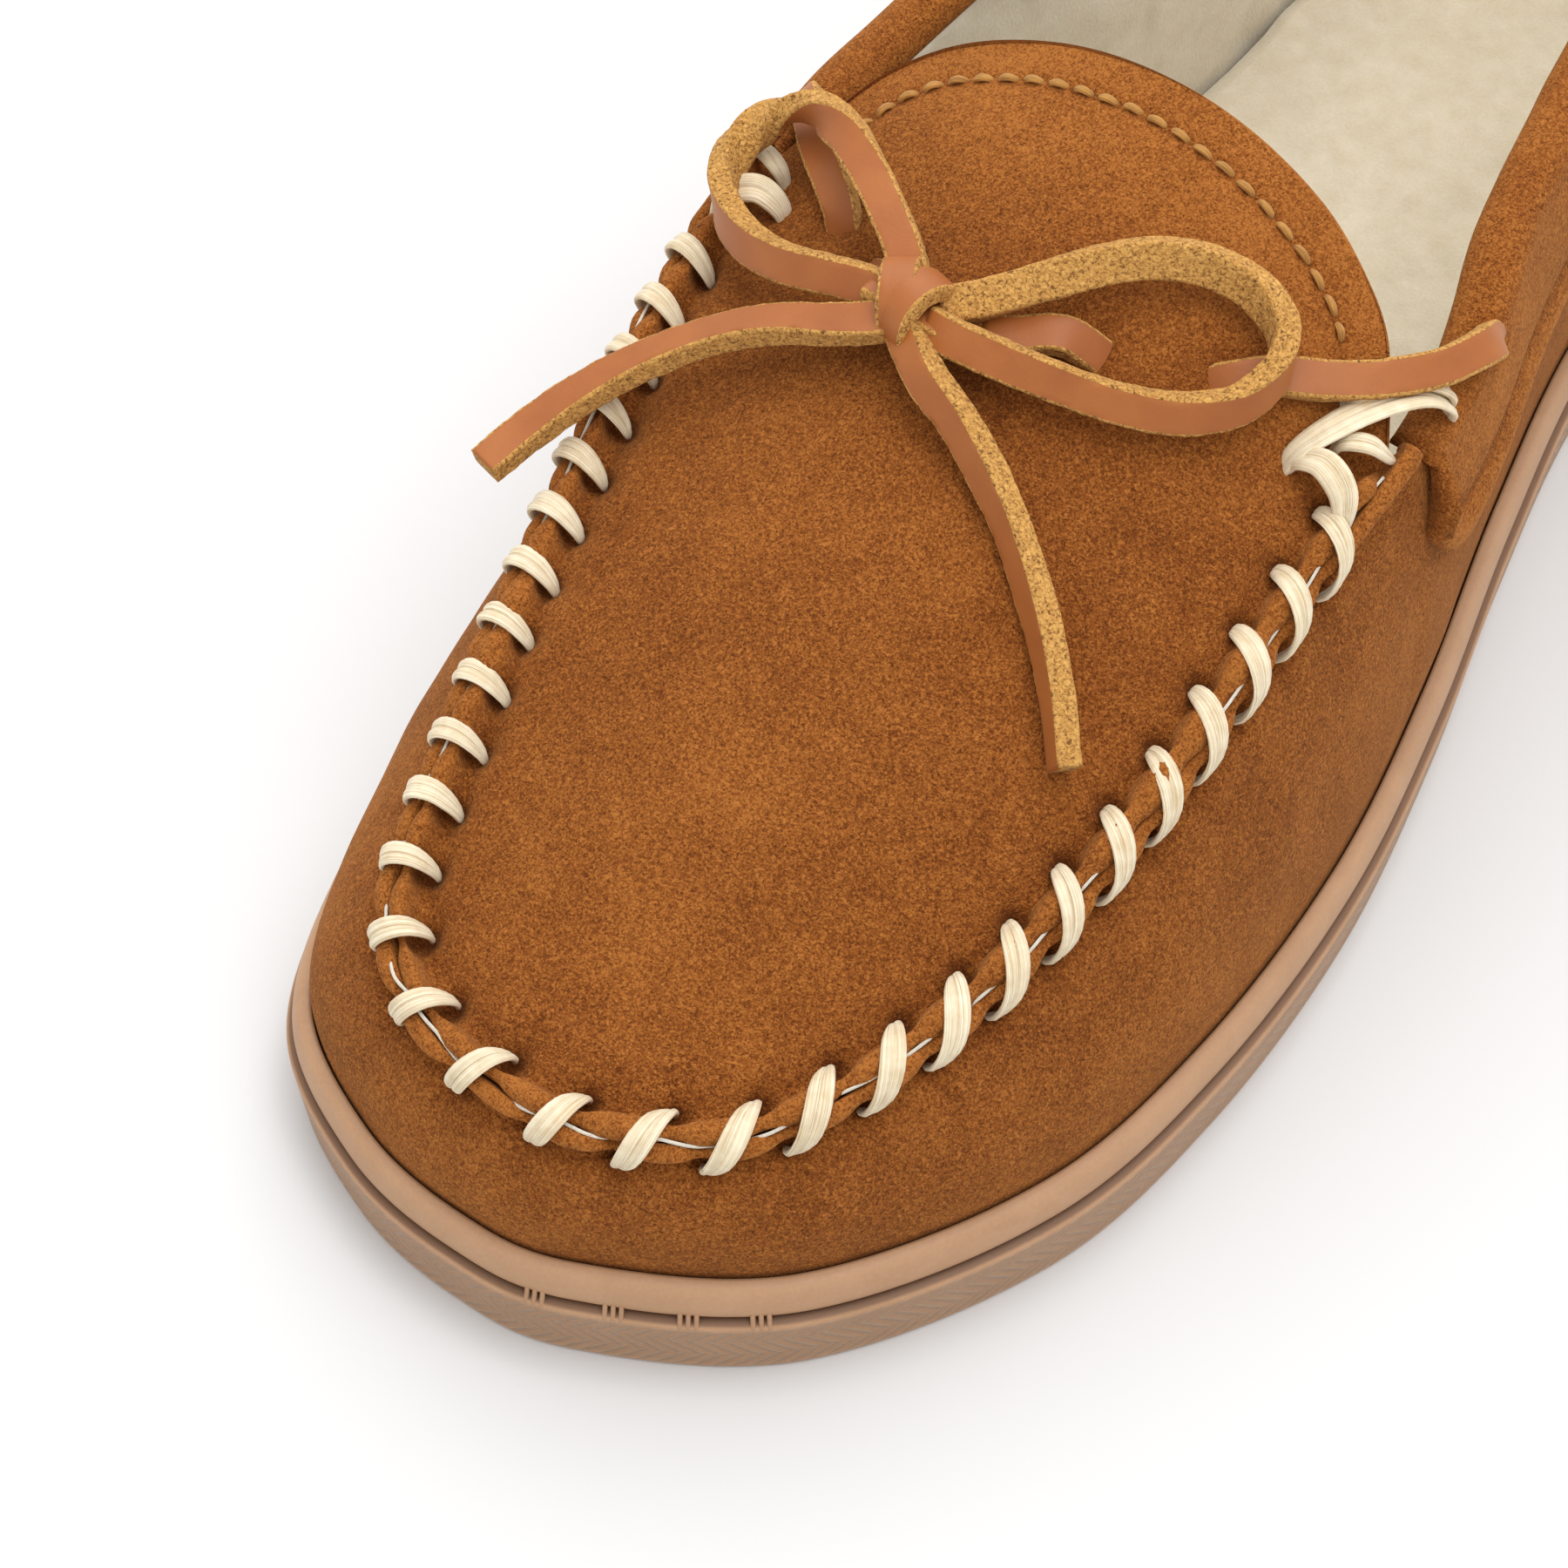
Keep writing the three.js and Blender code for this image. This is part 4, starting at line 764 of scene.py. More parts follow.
def sole_body():
    """Cup sole: a section of (inset, height) carried round the outline, with a rounded lip, a
    groove under it and an upright wall. Short moulded bars cross the groove at the toe. The
    mark run is the length along the outline, which the chevrons on the wall follow."""
    u = even_stations(1100)
    run = outline_run(np.append(u, TURN))
    total, run = run[-1], run[:-1]
    groove_top = SOLE_TOP - LIP_HEIGHT
    groove_foot = groove_top - GROOVE_HEIGHT
    band = np.linspace(0.9, groove_foot - 0.3, 12)
    share = (band - 0.9) / (groove_foot - 1.2)
    wall = np.stack([lerp(0.55, -0.25, share), band], -1)
    angle = np.linspace(0, np.pi / 2, 9)
    lip_low = groove_foot + 1.6
    lip_inset = 0.6 + 1.5 * (1 - np.cos(angle))
    lip = np.stack([lip_inset, lip_low + (SOLE_TOP - 0.1 - lip_low) * np.sin(angle)], -1)
    rows = np.concatenate(
        [
            [[9.0, 0.0], [4.0, 0.0], [1.5, 0.0], [0.95, 0.15], [0.65, 0.5]],
            wall,
            [
                [-0.15, groove_foot - 0.05],
                [0.15, groove_foot + 0.12],
                [1.2, groove_foot + 0.2],
                [1.6, groove_foot + 0.35],
                [1.6, groove_foot + 0.6],
                [1.0, groove_foot + 0.75],
                [0.7, groove_foot + 1.1],
            ],
            lip,
            [
                [2.6, SOLE_TOP],
                [LIP_WIDTH, SOLE_TOP - 0.05],
                [LIP_WIDTH + 0.1, SOLE_TOP - 0.6],
                [LIP_WIDTH, CUP_FLOOR],
                [9.0, CUP_FLOOR],
            ],
        ]
    )
    z = rows[:, 1]
    xy = np.stack([sole_inset(u, np.full(len(u), inset)) for inset in rows[:, 0]], 1)
    p = np.concatenate([xy, np.broadcast_to(z[None, :, None], xy.shape[:2] + (1,))], -1)
    p[:, 17:35] += (0.12 * lumps(p[:, 17:35], 12, 5))[..., None] * [0, 0, 1]
    in_groove = smooth(groove_foot - 0.1, groove_foot + 0.25, z)
    in_groove = in_groove * (1 - smooth(groove_foot + 0.6, groove_foot + 1.0, z))
    in_groove[-5:] = 0
    ribbed = smooth(0.7, 1.3, z) * (1 - smooth(groove_foot - 1.2, groove_foot - 0.5, z))
    made = [
        (
            faced_out(lattice(p, True, first_pole=[0, 10, 0], last_pole=[0, 10, CUP_FLOOR])),
            {
                # painted shade in the groove under the lip
                "painted_groove_shade": np.r_[np.tile(in_groove, len(u)), 0.0, 0.0],
                "ribbed": np.r_[np.tile(ribbed, len(u)), 0.0, 0.0],
                "run": np.r_[np.repeat(run / total * round(total / RIB_PITCH), len(z)), 0.0, 0.0],
            },
        )
    ]
    for centre in np.interp(GROOVE_BARS, u, run):
        for step in (-0.9, 0.0, 0.9):
            at = np.interp(centre + step, run, u) + np.zeros(7)
            inset = np.array([0.7, 0.0, -0.1, 0.25, 0.5, 0.6, 1.4])
            height = groove_foot + np.array([-1.3, -1.0, -0.3, 0.3, 0.9, 1.4, 1.7])
            path = np.concatenate([sole_inset(at, inset), height[:, None]], -1)
            out = sole_inset(at, np.full(7, -1.0)) - sole_inset(at, np.zeros(7))
            normal = np.concatenate([out, np.full((7, 1), 0.6)], -1)
            body, _ = strand_body(path, normal, 0.6, 0.5, 0.8, 8)
            flat = np.zeros(len(body[0]))
            # the bars in the groove get a little painted shade
            made.append((body, {"painted_groove_shade": flat + 0.12, "ribbed": flat, "run": flat}))
    return stacked(made)


# ---------- suede wrap ----------
def hole_offset(u, holes):
    """Millimetres along the seam from stations u to the nearest of the holes' stations."""
    fine = np.linspace(SEAM_START - 1, SEAM_END + 1, 2400)
    p = beside(fine, np.zeros_like(fine), np.zeros_like(fine))
    run = np.concatenate([[0], np.cumsum(np.linalg.norm(np.diff(p, axis=0), axis=1))])
    at, hole = np.interp(u, fine, run), np.interp(holes, fine, run)
    return np.abs(at[:, None] - hole).min(1)


def wrap_body():
    """Suede wrap: the wall's line, the turned-up ridge with a rounded cut edge, and the inside,
    carried round the shoe. It is drawn in at each stitch hole and swells between them, with
    short creases that fade down the wall, and two sizes of soft lumps."""
    u = even_stations(880, STATIONS[:, 2:4])
    s = section(u)
    share = np.concatenate([np.linspace(-0.1, 0.8, 52)[:-1], np.linspace(0.8, 1, 18)])
    outer, normal = bezier(s, np.clip(share, 0, 1))
    drop = np.minimum(share, 0) * 40
    outer = outer + np.stack([0 * drop, drop], -1)
    inner = (outer - normal * SUEDE)[:, ::-5]
    foot = outer[:, -1:]
    ridge = np.stack([np.sin(s["lean"]), np.cos(s["lean"])], -1)[:, None]
    side = np.stack([np.cos(s["lean"]), -np.sin(s["lean"])], -1)[:, None]
    tall = lerp(0.8, RIDGE_HEIGHT - 0.3, s["front"])[:, None, None]
    climb = np.linspace(0, 1, 8)[1:, None]
    up = foot + ridge * tall * climb
    bend = np.radians([30, 60, 90, 120, 150])[:, None]
    half = SUEDE / 2
    crest = foot + ridge * tall + side * (half * (np.cos(bend) - 1)) + ridge * 0.45 * np.sin(bend)
    back = foot + ridge * tall * np.array([0.95, 0.5, 0.1])[:, None] - side * SUEDE
    line = np.concatenate([outer, up, crest, back, inner], 1)
    p = placed(s, line[..., 0], line[..., 1])
    first = len(share)
    p = eased(p, first - 3, first + 4, 3)
    n = grid_normals(p, True, True)
    if (n[0, 10] * s["out"][0]).sum() < 0:
        n = -n
    visible = np.zeros(p.shape[1])
    visible[: first + 12] = 1
    rise = np.zeros(p.shape[1])
    rise[:first] = smooth(0.0, 0.12, share)
    rise[first : first + 12] = 1
    off = hole_offset(u, WRAP_HOLES)
    count = len(WRAP_HOLES)
    holes = beside(WRAP_HOLES, np.full(count, CLEARANCE / 2 + SUEDE), np.full(count, 0.6))
    reach = nearest(p, holes)
    below = np.linalg.norm(p - p[:, first - 1 : first], axis=-1)
    crease = bell(off, 1.5)[:, None] * np.exp(-below / 5.0) * s["front"][:, None]
    height = 0.45 * lumps(p, 24, 3) + 0.22 * lumps(p, 9, 4)
    height = height - 0.55 * crease - 0.7 * bell(reach, 1.5)
    on_ridge = np.zeros(p.shape[1])
    on_ridge[first - 6 : first + 12] = 1
    swell = (0.5 - bell(off, 2.2))[:, None] * s["front"][:, None] * on_ridge
    height = (height * rise + 0.45 * swell) * visible
    height[:, :first] += 0.35 * (s["front"][:, None] * bell(below[:, :first] - 3.0, 3.0))
    p = p + n * height[..., None]
    waves = 0.28 * lumps(p, 3.1, 6) - 0.35 * bell(off, 1.6)[:, None]
    lift = np.zeros(p.shape[1])
    lift[first + 4 : first + 13] = 1
    p = p + s["ridge"][:, None] * (waves * lift * s["front"][:, None])[..., None]
    # Painted highlight up the turned-up ridge and over its crest.
    painted_light_and_shade = 0.55 * smooth(first - 3, first + 7, np.arange(p.shape[1])) * s["front"][:, None]
    # Painted shade in the stitch holes and the creases beside them.
    painted_light_and_shade = painted_light_and_shade - 1.1 * bell(reach, 1.25) - 0.35 * crease
    # Painted shade low on the wall, where it runs down under the sole's lip.
    low = np.zeros(p.shape[1])
    low[:first] = 1 - smooth(0.0, 0.06, share)
    painted_light_and_shade = painted_light_and_shade - 0.8 * low
    return faced_out(lattice(p, True, True)), {"painted_light_and_shade": painted_light_and_shade.ravel()}


# ---------- apron ----------
def tongue_curve(count, inset=0.0):
    """Points and outward directions along the tongue's free edge, moved in by the inset."""
    ends = beside(np.array([SEAM_END, SEAM_START]), np.zeros(2), np.zeros(2))[:, :2]
    knots = np.concatenate([ends[:1], TONGUE_EDGE, ends[1:]])
    rows = through(np.concatenate([knots, np.zeros((len(knots), 1))], 1), count)
    run = unit(np.gradient(rows, axis=0))
    out = np.stack([-run[:, 1], run[:, 0], 0 * run[:, 0]], -1)
    xy = rows[:, :2] - out[:, :2] * inset
    return np.concatenate([xy, arch_height(xy[:, 0], xy[:, 1])[:, None]], 1), out


def strap_ways():
    """The two woven straps as rows of x, y, z, roll: out of the collar's slit, over the
    tongue's edge, through a slit in the apron, under it and up to the knot."""
    ways = []
    for start, route in ((START_OUTER, WAY_OUTER), (START_INNER, WAY_INNER)):
        route = np.array(route, float)
        height = arch_height(route[:, 0], route[:, 1]) + route[:, 2]
        over = np.stack([route[:, 0], route[:, 1], height], -1)
        way = through(np.concatenate([start, over]), 90)
        ways.append(np.concatenate([way, np.zeros((len(way), 1))], 1))
    return ways


# First points of the straps, from inside the collar's slit up over its crown.
START_OUTER = [(-37.8, 5.8, 58.0), (-39.0, 7.4, 61.8), (-39.4, 10.4, 63.9), (-37.4, 17.4, 65.6)]
START_INNER = [(44.4, 19.0, 57.5), (44.0, 20.4, 61.4), (42.8, 22.4, 64.0)]
# Woven routes: x, y and height above the arched top.
WAY_OUTER = [
    (-33.4, 23.4, 2.7), (-29, 27.5, 2.2), (-24, 31, 1.5), (-20.5, 33.6, 0.1), (-17, 35.4, -3),
    (-13.5, 37, -3.7), (-10, 38.4, -3.3), (-6.8, 39.6, -0.6), (-3.6, 41, 1.6), (0.6, 43.6, 1.6),
    (3.8, 45.2, 1.6),
]
WAY_INNER = [
    (40, 25.4, 2.9), (36, 29.6, 2.4), (32, 33, 1.7), (29, 35.4, 0.2), (26.4, 37.4, -3),
    (24, 39.2, -3.6), (21.8, 41, -2.6), (19.6, 42.8, 0.4), (17.6, 45.2, 2),
]
APRON_SLITS = np.array([(-20.6, 33.6), (-6.4, 39.8), (28.8, 35.6), (19.9, 42.6)], float)


def arch_normal(p):
    """Upward normal of the arched top under the points, from its slopes."""
    y = np.maximum(p[:, 1], 10)
    step = 0.5
    dx = (arch_height(p[:, 0] + step, y) - arch_height(p[:, 0] - step, y)) / (2 * step)
    dy = (arch_height(p[:, 0], y + step) - arch_height(p[:, 0], y - step)) / (2 * step)
    return unit(np.stack([-dx, -dy, np.ones_like(dx)], -1))


def apron_body():
    """Apron and tongue: spokes from the middle out to the edge, over the arched top, up the
    ridge along the seam, over a rounded edge and back under. It dips at stitch holes, lace
    slits and the tongue's line of stitches."""
    u = np.linspace(SEAM_START, SEAM_END, 560)
    s = section(u)
    tip, tip_out = tongue_curve(250)
    edge = np.concatenate([s["top"], tip[1:-1]])
    out = np.concatenate([s["out"], tip_out[1:-1]])
    rise = np.zeros(len(edge))
    rise[: len(u)] = smooth(0, 10, np.minimum(np.arange(len(u)), np.arange(len(u))[::-1]))
    lean = RIDGE_LEAN
    side = out * np.cos(lean) - [0, 0, np.sin(lean)]
    ridge = out * np.sin(lean) + [0, 0, np.cos(lean)]
    foot = edge - side * ((CLEARANCE / 2 + SUEDE) * rise)[:, None]
    k = 1 - (1 - np.linspace(0, 1, 64)[1:]) ** 1.5
    xy = APRON_CENTRE + (foot[:, None, :2] - APRON_CENTRE) * k[:, None]
    drift = foot[:, 2] - arch_height(foot[:, 0], foot[:, 1])
    z = arch_height(xy[..., 0], xy[..., 1]) + drift[:, None] * k**6
    top = np.concatenate([xy, z[..., None]], -1)
    tall = ((RIDGE_HEIGHT - 0.3) * rise)[:, None, None]
    climb = np.linspace(0, 1, 8)[1:, None]
    up = foot[:, None] + ridge[:, None] * tall * climb
    bend = np.radians([30, 60, 90, 120, 150])[:, None]
    half = lerp(0.25, SUEDE / 2, rise)[:, None, None]
    crown = lerp(0.0, 0.45, rise)[:, None, None]
    over = up[:, -1:] + side[:, None] * half * (1 - np.cos(bend))
    over = over + ridge[:, None] * crown * np.sin(bend)
    wide = lerp(0.5, SUEDE, rise)[:, None, None]
    fall = np.array([0.8, 0.3, -0.25])[:, None]
    level = lerp(-SUEDE * (1 - fall) * 0.45, tall * fall, rise[:, None, None])
    down = foot[:, None] + side[:, None] * wide + ridge[:, None] * level
    under = top[:, ::-6] - [0, 0, APRON_THICK]
    p = np.concatenate([top, up, over, down, under], 1)
    last = top.shape[1]
    p = eased(p, last - 6, last + 3, 4)
    n = grid_normals(p, closed_u=True)
    if n[100, 20, 2] < 0:
        n = -n
    seen = np.zeros(p.shape[1])
    seen[: last + 12] = 1
    count = len(APRON_HOLES)
    hole_at = beside(
        APRON_HOLES, np.full(count, -CLEARANCE / 2 - SUEDE - 0.9), np.full(count, 0.4)
    )
    reach = nearest(p, hole_at)
    seam_off = np.full(len(edge), 9.0)
    seam_off[: len(u)] = hole_offset(u, APRON_HOLES)
    slits = np.concatenate([APRON_SLITS, arch_height(*APRON_SLITS.T)[:, None]], 1)
    slit_off = nearest(p, slits)
    sewn, _ = tongue_curve(260, TOPSTITCH_INSET)
    line_off = nearest(p, sewn[14:-14])
    from_edge = np.linalg.norm(p - p[:, last - 1 : last], axis=-1)
    height = apron_lumps(p) - 0.75 * bell(reach, 1.5) - 0.35 * bell(line_off, 1.1)
    height = height - 0.9 * bell(slit_off, 3.4)
    height = height - 0.6 * (bell(seam_off, 1.8) * rise)[:, None] * np.exp(-from_edge / 4.0)
    height = height + 0.5 * rise[:, None] * bell(from_edge - 5, 4)
    swell = (0.5 - bell(seam_off, 2.2)) * rise
    height[:, last - 4 : last + 12] += 0.4 * swell[:, None]
    p = p + n * (height * seen)[..., None]
    waves = 0.3 * lumps(p, 2.9, 11) - 0.35 * bell(seam_off, 1.6)[:, None]
    lift = np.zeros(p.shape[1])
    lift[last + 5 : last + 13] = 1
    p = p + ridge[:, None] * (waves * lift * rise[:, None])[..., None]
    # Painted highlight up the ridge and over its crest.
    painted_light_and_shade = 0.5 * smooth(last - 4, last + 7, np.arange(p.shape[1]))[None] * np.ones((len(edge), 1))
    # Painted light on the tongue, which faces up and back towards the key lamp.
    painted_light_and_shade = painted_light_and_shade + 0.55 * (1 - smooth(14, 42, p[..., 1]))
    # Painted shade in the stitch holes, along the tongue's stitch line and in the lace slits.
    painted_light_and_shade = painted_light_and_shade - 1.7 * bell(reach, 1.15) - 0.5 * bell(line_off, 0.8) - 0.5 * bell(slit_off, 2.4)
    body = lattice(p, closed_u=True, first_pole=middle_of(0), last_pole=middle_of(APRON_THICK))
    return faced_out(body), {"painted_light_and_shade": np.r_[painted_light_and_shade.ravel(), 0, 0]}


def middle_of(drop):
    """The apron's middle, this far under its top surface."""
    x, y = APRON_CENTRE
    height = apron_lumps(np.array([[x, y, arch_height(x, y)]]))[0] if drop == 0 else 0.0
    return [x, y, arch_height(x, y) - drop + height]


# ---------- collar ----------
def cuff_body():
    """Collar cuff: suede folded over the top line, with a rolled hem and a sewn line above it
    outside, a rounded crown and a short inner leg. Its front corners are rounded off."""
    u = np.linspace(CUFF_FRONT_INNER - TURN, CUFF_FRONT_OUTER, 760)
    s = section(u)
    fine = around(STATIONS[:, 2:4], u)
    run = np.concatenate([[0], np.cumsum(np.linalg.norm(np.diff(fine, axis=0), axis=1))])
    from_end = np.minimum(run, run[-1] - run)
    cut = 1 - np.sqrt(np.clip(1 - (1 - np.clip(from_end / CUFF_CORNER, 0, 1)) ** 2, 0, 1))
    top = s["top"][:, 2]
    drop = CUFF_DROP - 10.5 * cut - 3.5 * (1 - smooth(8, 45, from_end))
    share = np.linspace(0, 1, 30)
    z = (top - drop)[:, None] + (drop - 0.5)[:, None] * share
    t = wall_at(s, z)
    line, normal = bezier(s, t)
    up = z - (top - drop)[:, None]
    thick = CUFF + 0.75 * bell(up - 1.6, 1.5) - 0.45 * bell(up - 4.6, 0.9)
    out = line + normal * (CLEARANCE + thick)[..., None]
    inn = line + normal * CLEARANCE
    lining = SUEDE + CLEARANCE + counter_room(u) + PILE_TOP + CLEARANCE
    end, end_normal = bezier(s, wall_at(s, (top - 0.4)[:, None]))
    inner = (end - end_normal * lining[:, None, None])[:, 0, 0]
    base = out[:, -1, 1]
    crown = top + 0.8 + CLEARANCE + CUFF - base
    centre, half = (out[:, -1, 0] + inner) / 2, (out[:, -1, 0] - inner) / 2
    angle = np.linspace(0, np.pi, 20)[1:]
    sine = np.sin(angle) ** 0.85
    across = centre[:, None] + half[:, None] * np.cos(angle)
    arc = np.stack([across, base[:, None] + crown[:, None] * sine], -1)
    tuck = np.stack([inner + 1.0, base - 0.3], -1)[:, None]
    room = np.stack([inner + 1.6, top + 0.8 + CLEARANCE], -1)[:, None]
    ring = np.concatenate([out, arc, tuck, room, inn[:, ::-4]], 1)
    p = placed(s, ring[..., 0], ring[..., 1])
    crown_line = p[:, 34]
    ahead = unit(np.gradient(crown_line, axis=0))[:, None]
    ahead = ahead * np.where(np.arange(len(u)) < 380, -1, 1)[:, None, None]
    low = np.zeros(p.shape[1])
    low[:30], low[-inn[:, ::-4].shape[1] :] = 1 - share, 1 - share[::-4]
    p = p + ahead * (4.5 * (1 - smooth(0, 24, from_end))[:, None] * low)[..., None]
    n = grid_normals(p, closed_v=True)
    if (n[300, 10] * s["out"][300]).sum() < 0:
        n = -n
    seen = np.zeros(p.shape[1])
    seen[: 30 + 17] = 1
    slit = np.array([START_OUTER[1], START_INNER[1]])
    reach = nearest(p, slit)
    height = 0.4 * lumps(p, 20, 13) + 0.22 * lumps(p, 8, 14) - 1.0 * bell(reach, 3.2)
    end_ease = smooth(0, 6, from_end)[:, None]
    p = p + n * (height * seen * end_ease)[..., None]
    painted_light_and_shade = np.zeros(p.shape[:2])
    # Painted highlight on the rolled hem and painted shade along the sewn groove above it.
    painted_light_and_shade[:, :30] = 0.35 * bell(up - 1.4, 1.2) - 0.7 * bell(up - 4.6, 0.7)
    # Painted shade at the straps' slits, and painted light over the whole cuff.
    painted_light_and_shade = painted_light_and_shade - 1.2 * bell(reach, 2.0) + 0.35
    body = lattice(p, closed_v=True)
    return faced_out(body), {"painted_light_and_shade": np.r_[painted_light_and_shade.ravel(), 0.3, 0.3]}


def counter_room(u):
    """Extra inset of the rear lining where the heel stiffener lies behind it."""
    w = np.mod(u, TURN)
    return (COUNTER + CLEARANCE) * (1 - smooth(4.4, 5.4, np.minimum(w, TURN - w)))


def band_body(u, outer, inner, low, high, seed):
    """A layer of the wall between two insets and two heights, carried along stations u. Its
    inner side is roughened into soft lumps of pile."""
    s = section(u)
    share = np.linspace(0, 1, outer.shape[1])
    z = low[:, None] + (high - low)[:, None] * share
    t = wall_at(s, z)
    line, normal = bezier(s, t)
    out = line - normal * outer[..., None]
    inn = line - normal * inner[..., None]
    p_out, p_in = placed(s, out[..., 0], z), placed(s, inn[..., 0], z)
    top = (p_out[:, -1:] + p_in[:, -1:]) / 2 + [0, 0, 0.8]
    inward = unit(p_in - p_out)
    height = PILE_LUMPS * (0.6 * lumps(p_in, 2.6, seed) + 0.5 * lumps(p_in, 5.5, seed + 1))
    p_in = p_in + inward * height[..., None]
    p = np.concatenate([p_out[:, ::3], p_out[:, -1:], top, p_in[:, ::-1]], 1)
    return faced_out(lattice(p, closed_v=True))


def backstay_body():
    """Strip over the back seam, with rounded edges and a stitched groove down each side."""
    u = np.linspace(-0.62, 0.62, 60)
    s = section(u)
    high = s["top"][:, 2] - CUFF_DROP - CLEARANCE
    low = np.full(len(u), SOLE_TOP + CLEARANCE)
    z = low[:, None] + (high - low)[:, None] * np.linspace(0, 1, 60)
    line, normal = bezier(s, wall_at(s, z))
    x = np.abs(u)[:, None]
    thick = 1.4 * (1 - bell(x - 0.62, 0.05)) - 0.3 * bell(x - 0.5, 0.03)
    thick = thick + 0.12 * lumps(np.stack([u * 20, u * 0, u * 0], -1), 6, 2)[:, None]
    out = line + normal * (CLEARANCE + np.maximum(thick, 0.15))[..., None]
    inn = (line + normal * CLEARANCE)[:, ::-6]
    ring = np.concatenate([out, inn], 1)
    p = placed(s, ring[..., 0], ring[..., 1])
    # Painted highlight on the rounded edges and painted shade in the stitched grooves.
    painted_light_and_shade = np.broadcast_to(0.3 * bell(x - 0.6, 0.06) - 0.8 * bell(x - 0.5, 0.02), p.shape[:2])
    return faced_out(lattice(p, closed_v=True)), {"painted_light_and_shade": np.r_[painted_light_and_shade.ravel(), 0, 0]}


# ---------- pile ----------
def tufts_body(roots, normals, length, width, lean, seed, rise=0.22):
    """Many small curved tufts at once: each a three-sided taper from a root ring of three
    points over a middle ring to a tip, bent over in its own random direction, whose middle and
    tip stand the share rise of its length above the surface."""
    rng = np.random.default_rng(seed)
    count = len(roots)
    side = unit(np.cross(normals, rng.normal(size=(count, 3))))
    other = np.cross(normals, side)
    bend = lean + side * rng.normal(0, 0.55, (count, 1))
    bend = unit(bend + other * rng.normal(0, 0.55, (count, 1)))
    tall = length * rng.uniform(0.65, 1.2, (count, 1))
    wide = width * rng.uniform(0.7, 1.3, (count, 1))
    turn = np.radians([0, 120, 240])
    ring = side[:, None] * np.cos(turn)[:, None] + other[:, None] * np.sin(turn)[:, None]
    root = roots[:, None] - normals[:, None] * 0.5 + ring * wide[:, None]
    mid = roots + normals * tall * rise + bend * tall * 0.4
    middle = mid[:, None] + ring * wide[:, None] * 0.8
    tip = roots + normals * tall * rise * 0.9 + bend * tall
    verts = np.concatenate([root, middle, tip[:, None]], 1).reshape(-1, 3)
    base = np.arange(count)[:, None, None] * 7
    quads = np.array([[0, 1, 4, 3], [1, 2, 5, 4], [2, 0, 3, 5]])[None] + base
    tris = np.array([[3, 4, 6], [4, 5, 6], [5, 3, 6], [0, 2, 1]])[None] + base
    # depth is painted shade: darkest at each tuft's root, none at its tip.
    depth = np.tile([0.9, 0.9, 0.9, 0.35, 0.35, 0.35, 0.0], count)
    return faced_out((verts, quads.reshape(-1, 4), tris.reshape(-1, 3))), {"depth": depth}


def scattered(p, count, seed):
    """Random places on the grid p[u, v], shared out by its cells' areas."""
    rng = np.random.default_rng(seed)
    du, dv = p[1:, :-1] - p[:-1, :-1], p[:-1, 1:] - p[:-1, :-1]
    area = np.linalg.norm(np.cross(du, dv), axis=-1)
    pick = rng.choice(area.size, count, p=(area / area.sum()).ravel())
    i, j = np.unravel_index(pick, area.shape)
    a, b = rng.random((count, 1)), rng.random((count, 1))
    return p[i, j] + du[i, j] * a + dv[i, j] * b


def sock_body():
    """Footbed cover: its outline drawn in to the middle, domed a little at the rim, with three
    sizes of soft lumps in its fleece."""
    u = even_stations(420)
    share = np.linspace(0, 1, 90)
    k = share[1:] * 0.985
    rim = sole_inset(u, np.full(len(u), FLOOR_GAP))
    centre = np.array([0.0, 10.0])
    xy = centre + (rim[:, None] - centre) * k[:, None]
    z = SOCK_TOP + 0.4 - 1.2 * smooth(0.9, 1, k)[None] + 0 * xy[..., 0]
    top = np.concatenate([xy, z[..., None]], -1)
    top[..., 2] += 0.3 * lumps(top, 4.5, 21) + 0.7 * lumps(top, 13, 22) + 0.15 * lumps(top, 2, 23)
    low = np.concatenate([xy[:, -1:], np.full((len(u), 1, 1), FOAM_TOP + CLEARANCE)], -1)
    p = np.concatenate([top, low], 1)
    ends = {"first_pole": [*centre, SOCK_TOP + 0.4], "last_pole": [*centre, FOAM_TOP + CLEARANCE]}
    body = faced_out(lattice(p, closed_u=True, **ends))
    # depth gives the fleece's surface the painted shade of the pile's roots.
    return body, {"depth": np.full(len(body[0]), 0.62)}


def lined(u, outer, inner, low, high, seed):
    """A pile lining: its band, lumpy on the inner side."""
    body = band_body(u, outer, inner, low, high, seed)
    # depth gives the lining's surface the painted shade of the pile's roots.
    return body, {"depth": np.full(len(body[0]), 0.55)}


def quarter_lining_body():
    """Rear lining: pile from the board up to the cuff, drawn thin at the top line."""
    u = np.linspace(LINING_JOIN_INNER + 0.03 - TURN, LINING_JOIN_OUTER - 0.03, 420)
    top = section(u)["top"][:, 2]
    low, high = np.full(len(u), BOARD_TOP + CLEARANCE), top - 0.6
    a = SUEDE + CLEARANCE + counter_room(u)
    share = np.linspace(0, 1, 30)
    thick = PILE - (PILE - PILE_TOP) * smooth(0, 1, share) ** 2
    return lined(u, a[:, None] + 0 * share, a[:, None] + thick, low, high, 31)


def vamp_lining_body():
    """Forefoot lining: pile inside the wrap, from the board to just under the seam."""
    u = np.linspace(LINING_JOIN_OUTER, LINING_JOIN_INNER, 420)
    top = section(u)["top"][:, 2]
    low, high = np.full(len(u), BOARD_TOP + CLEARANCE), top - 4.5
    a = np.full((len(u), 30), SUEDE + CLEARANCE)
    return lined(u, a, a + PILE, low, high, 41)


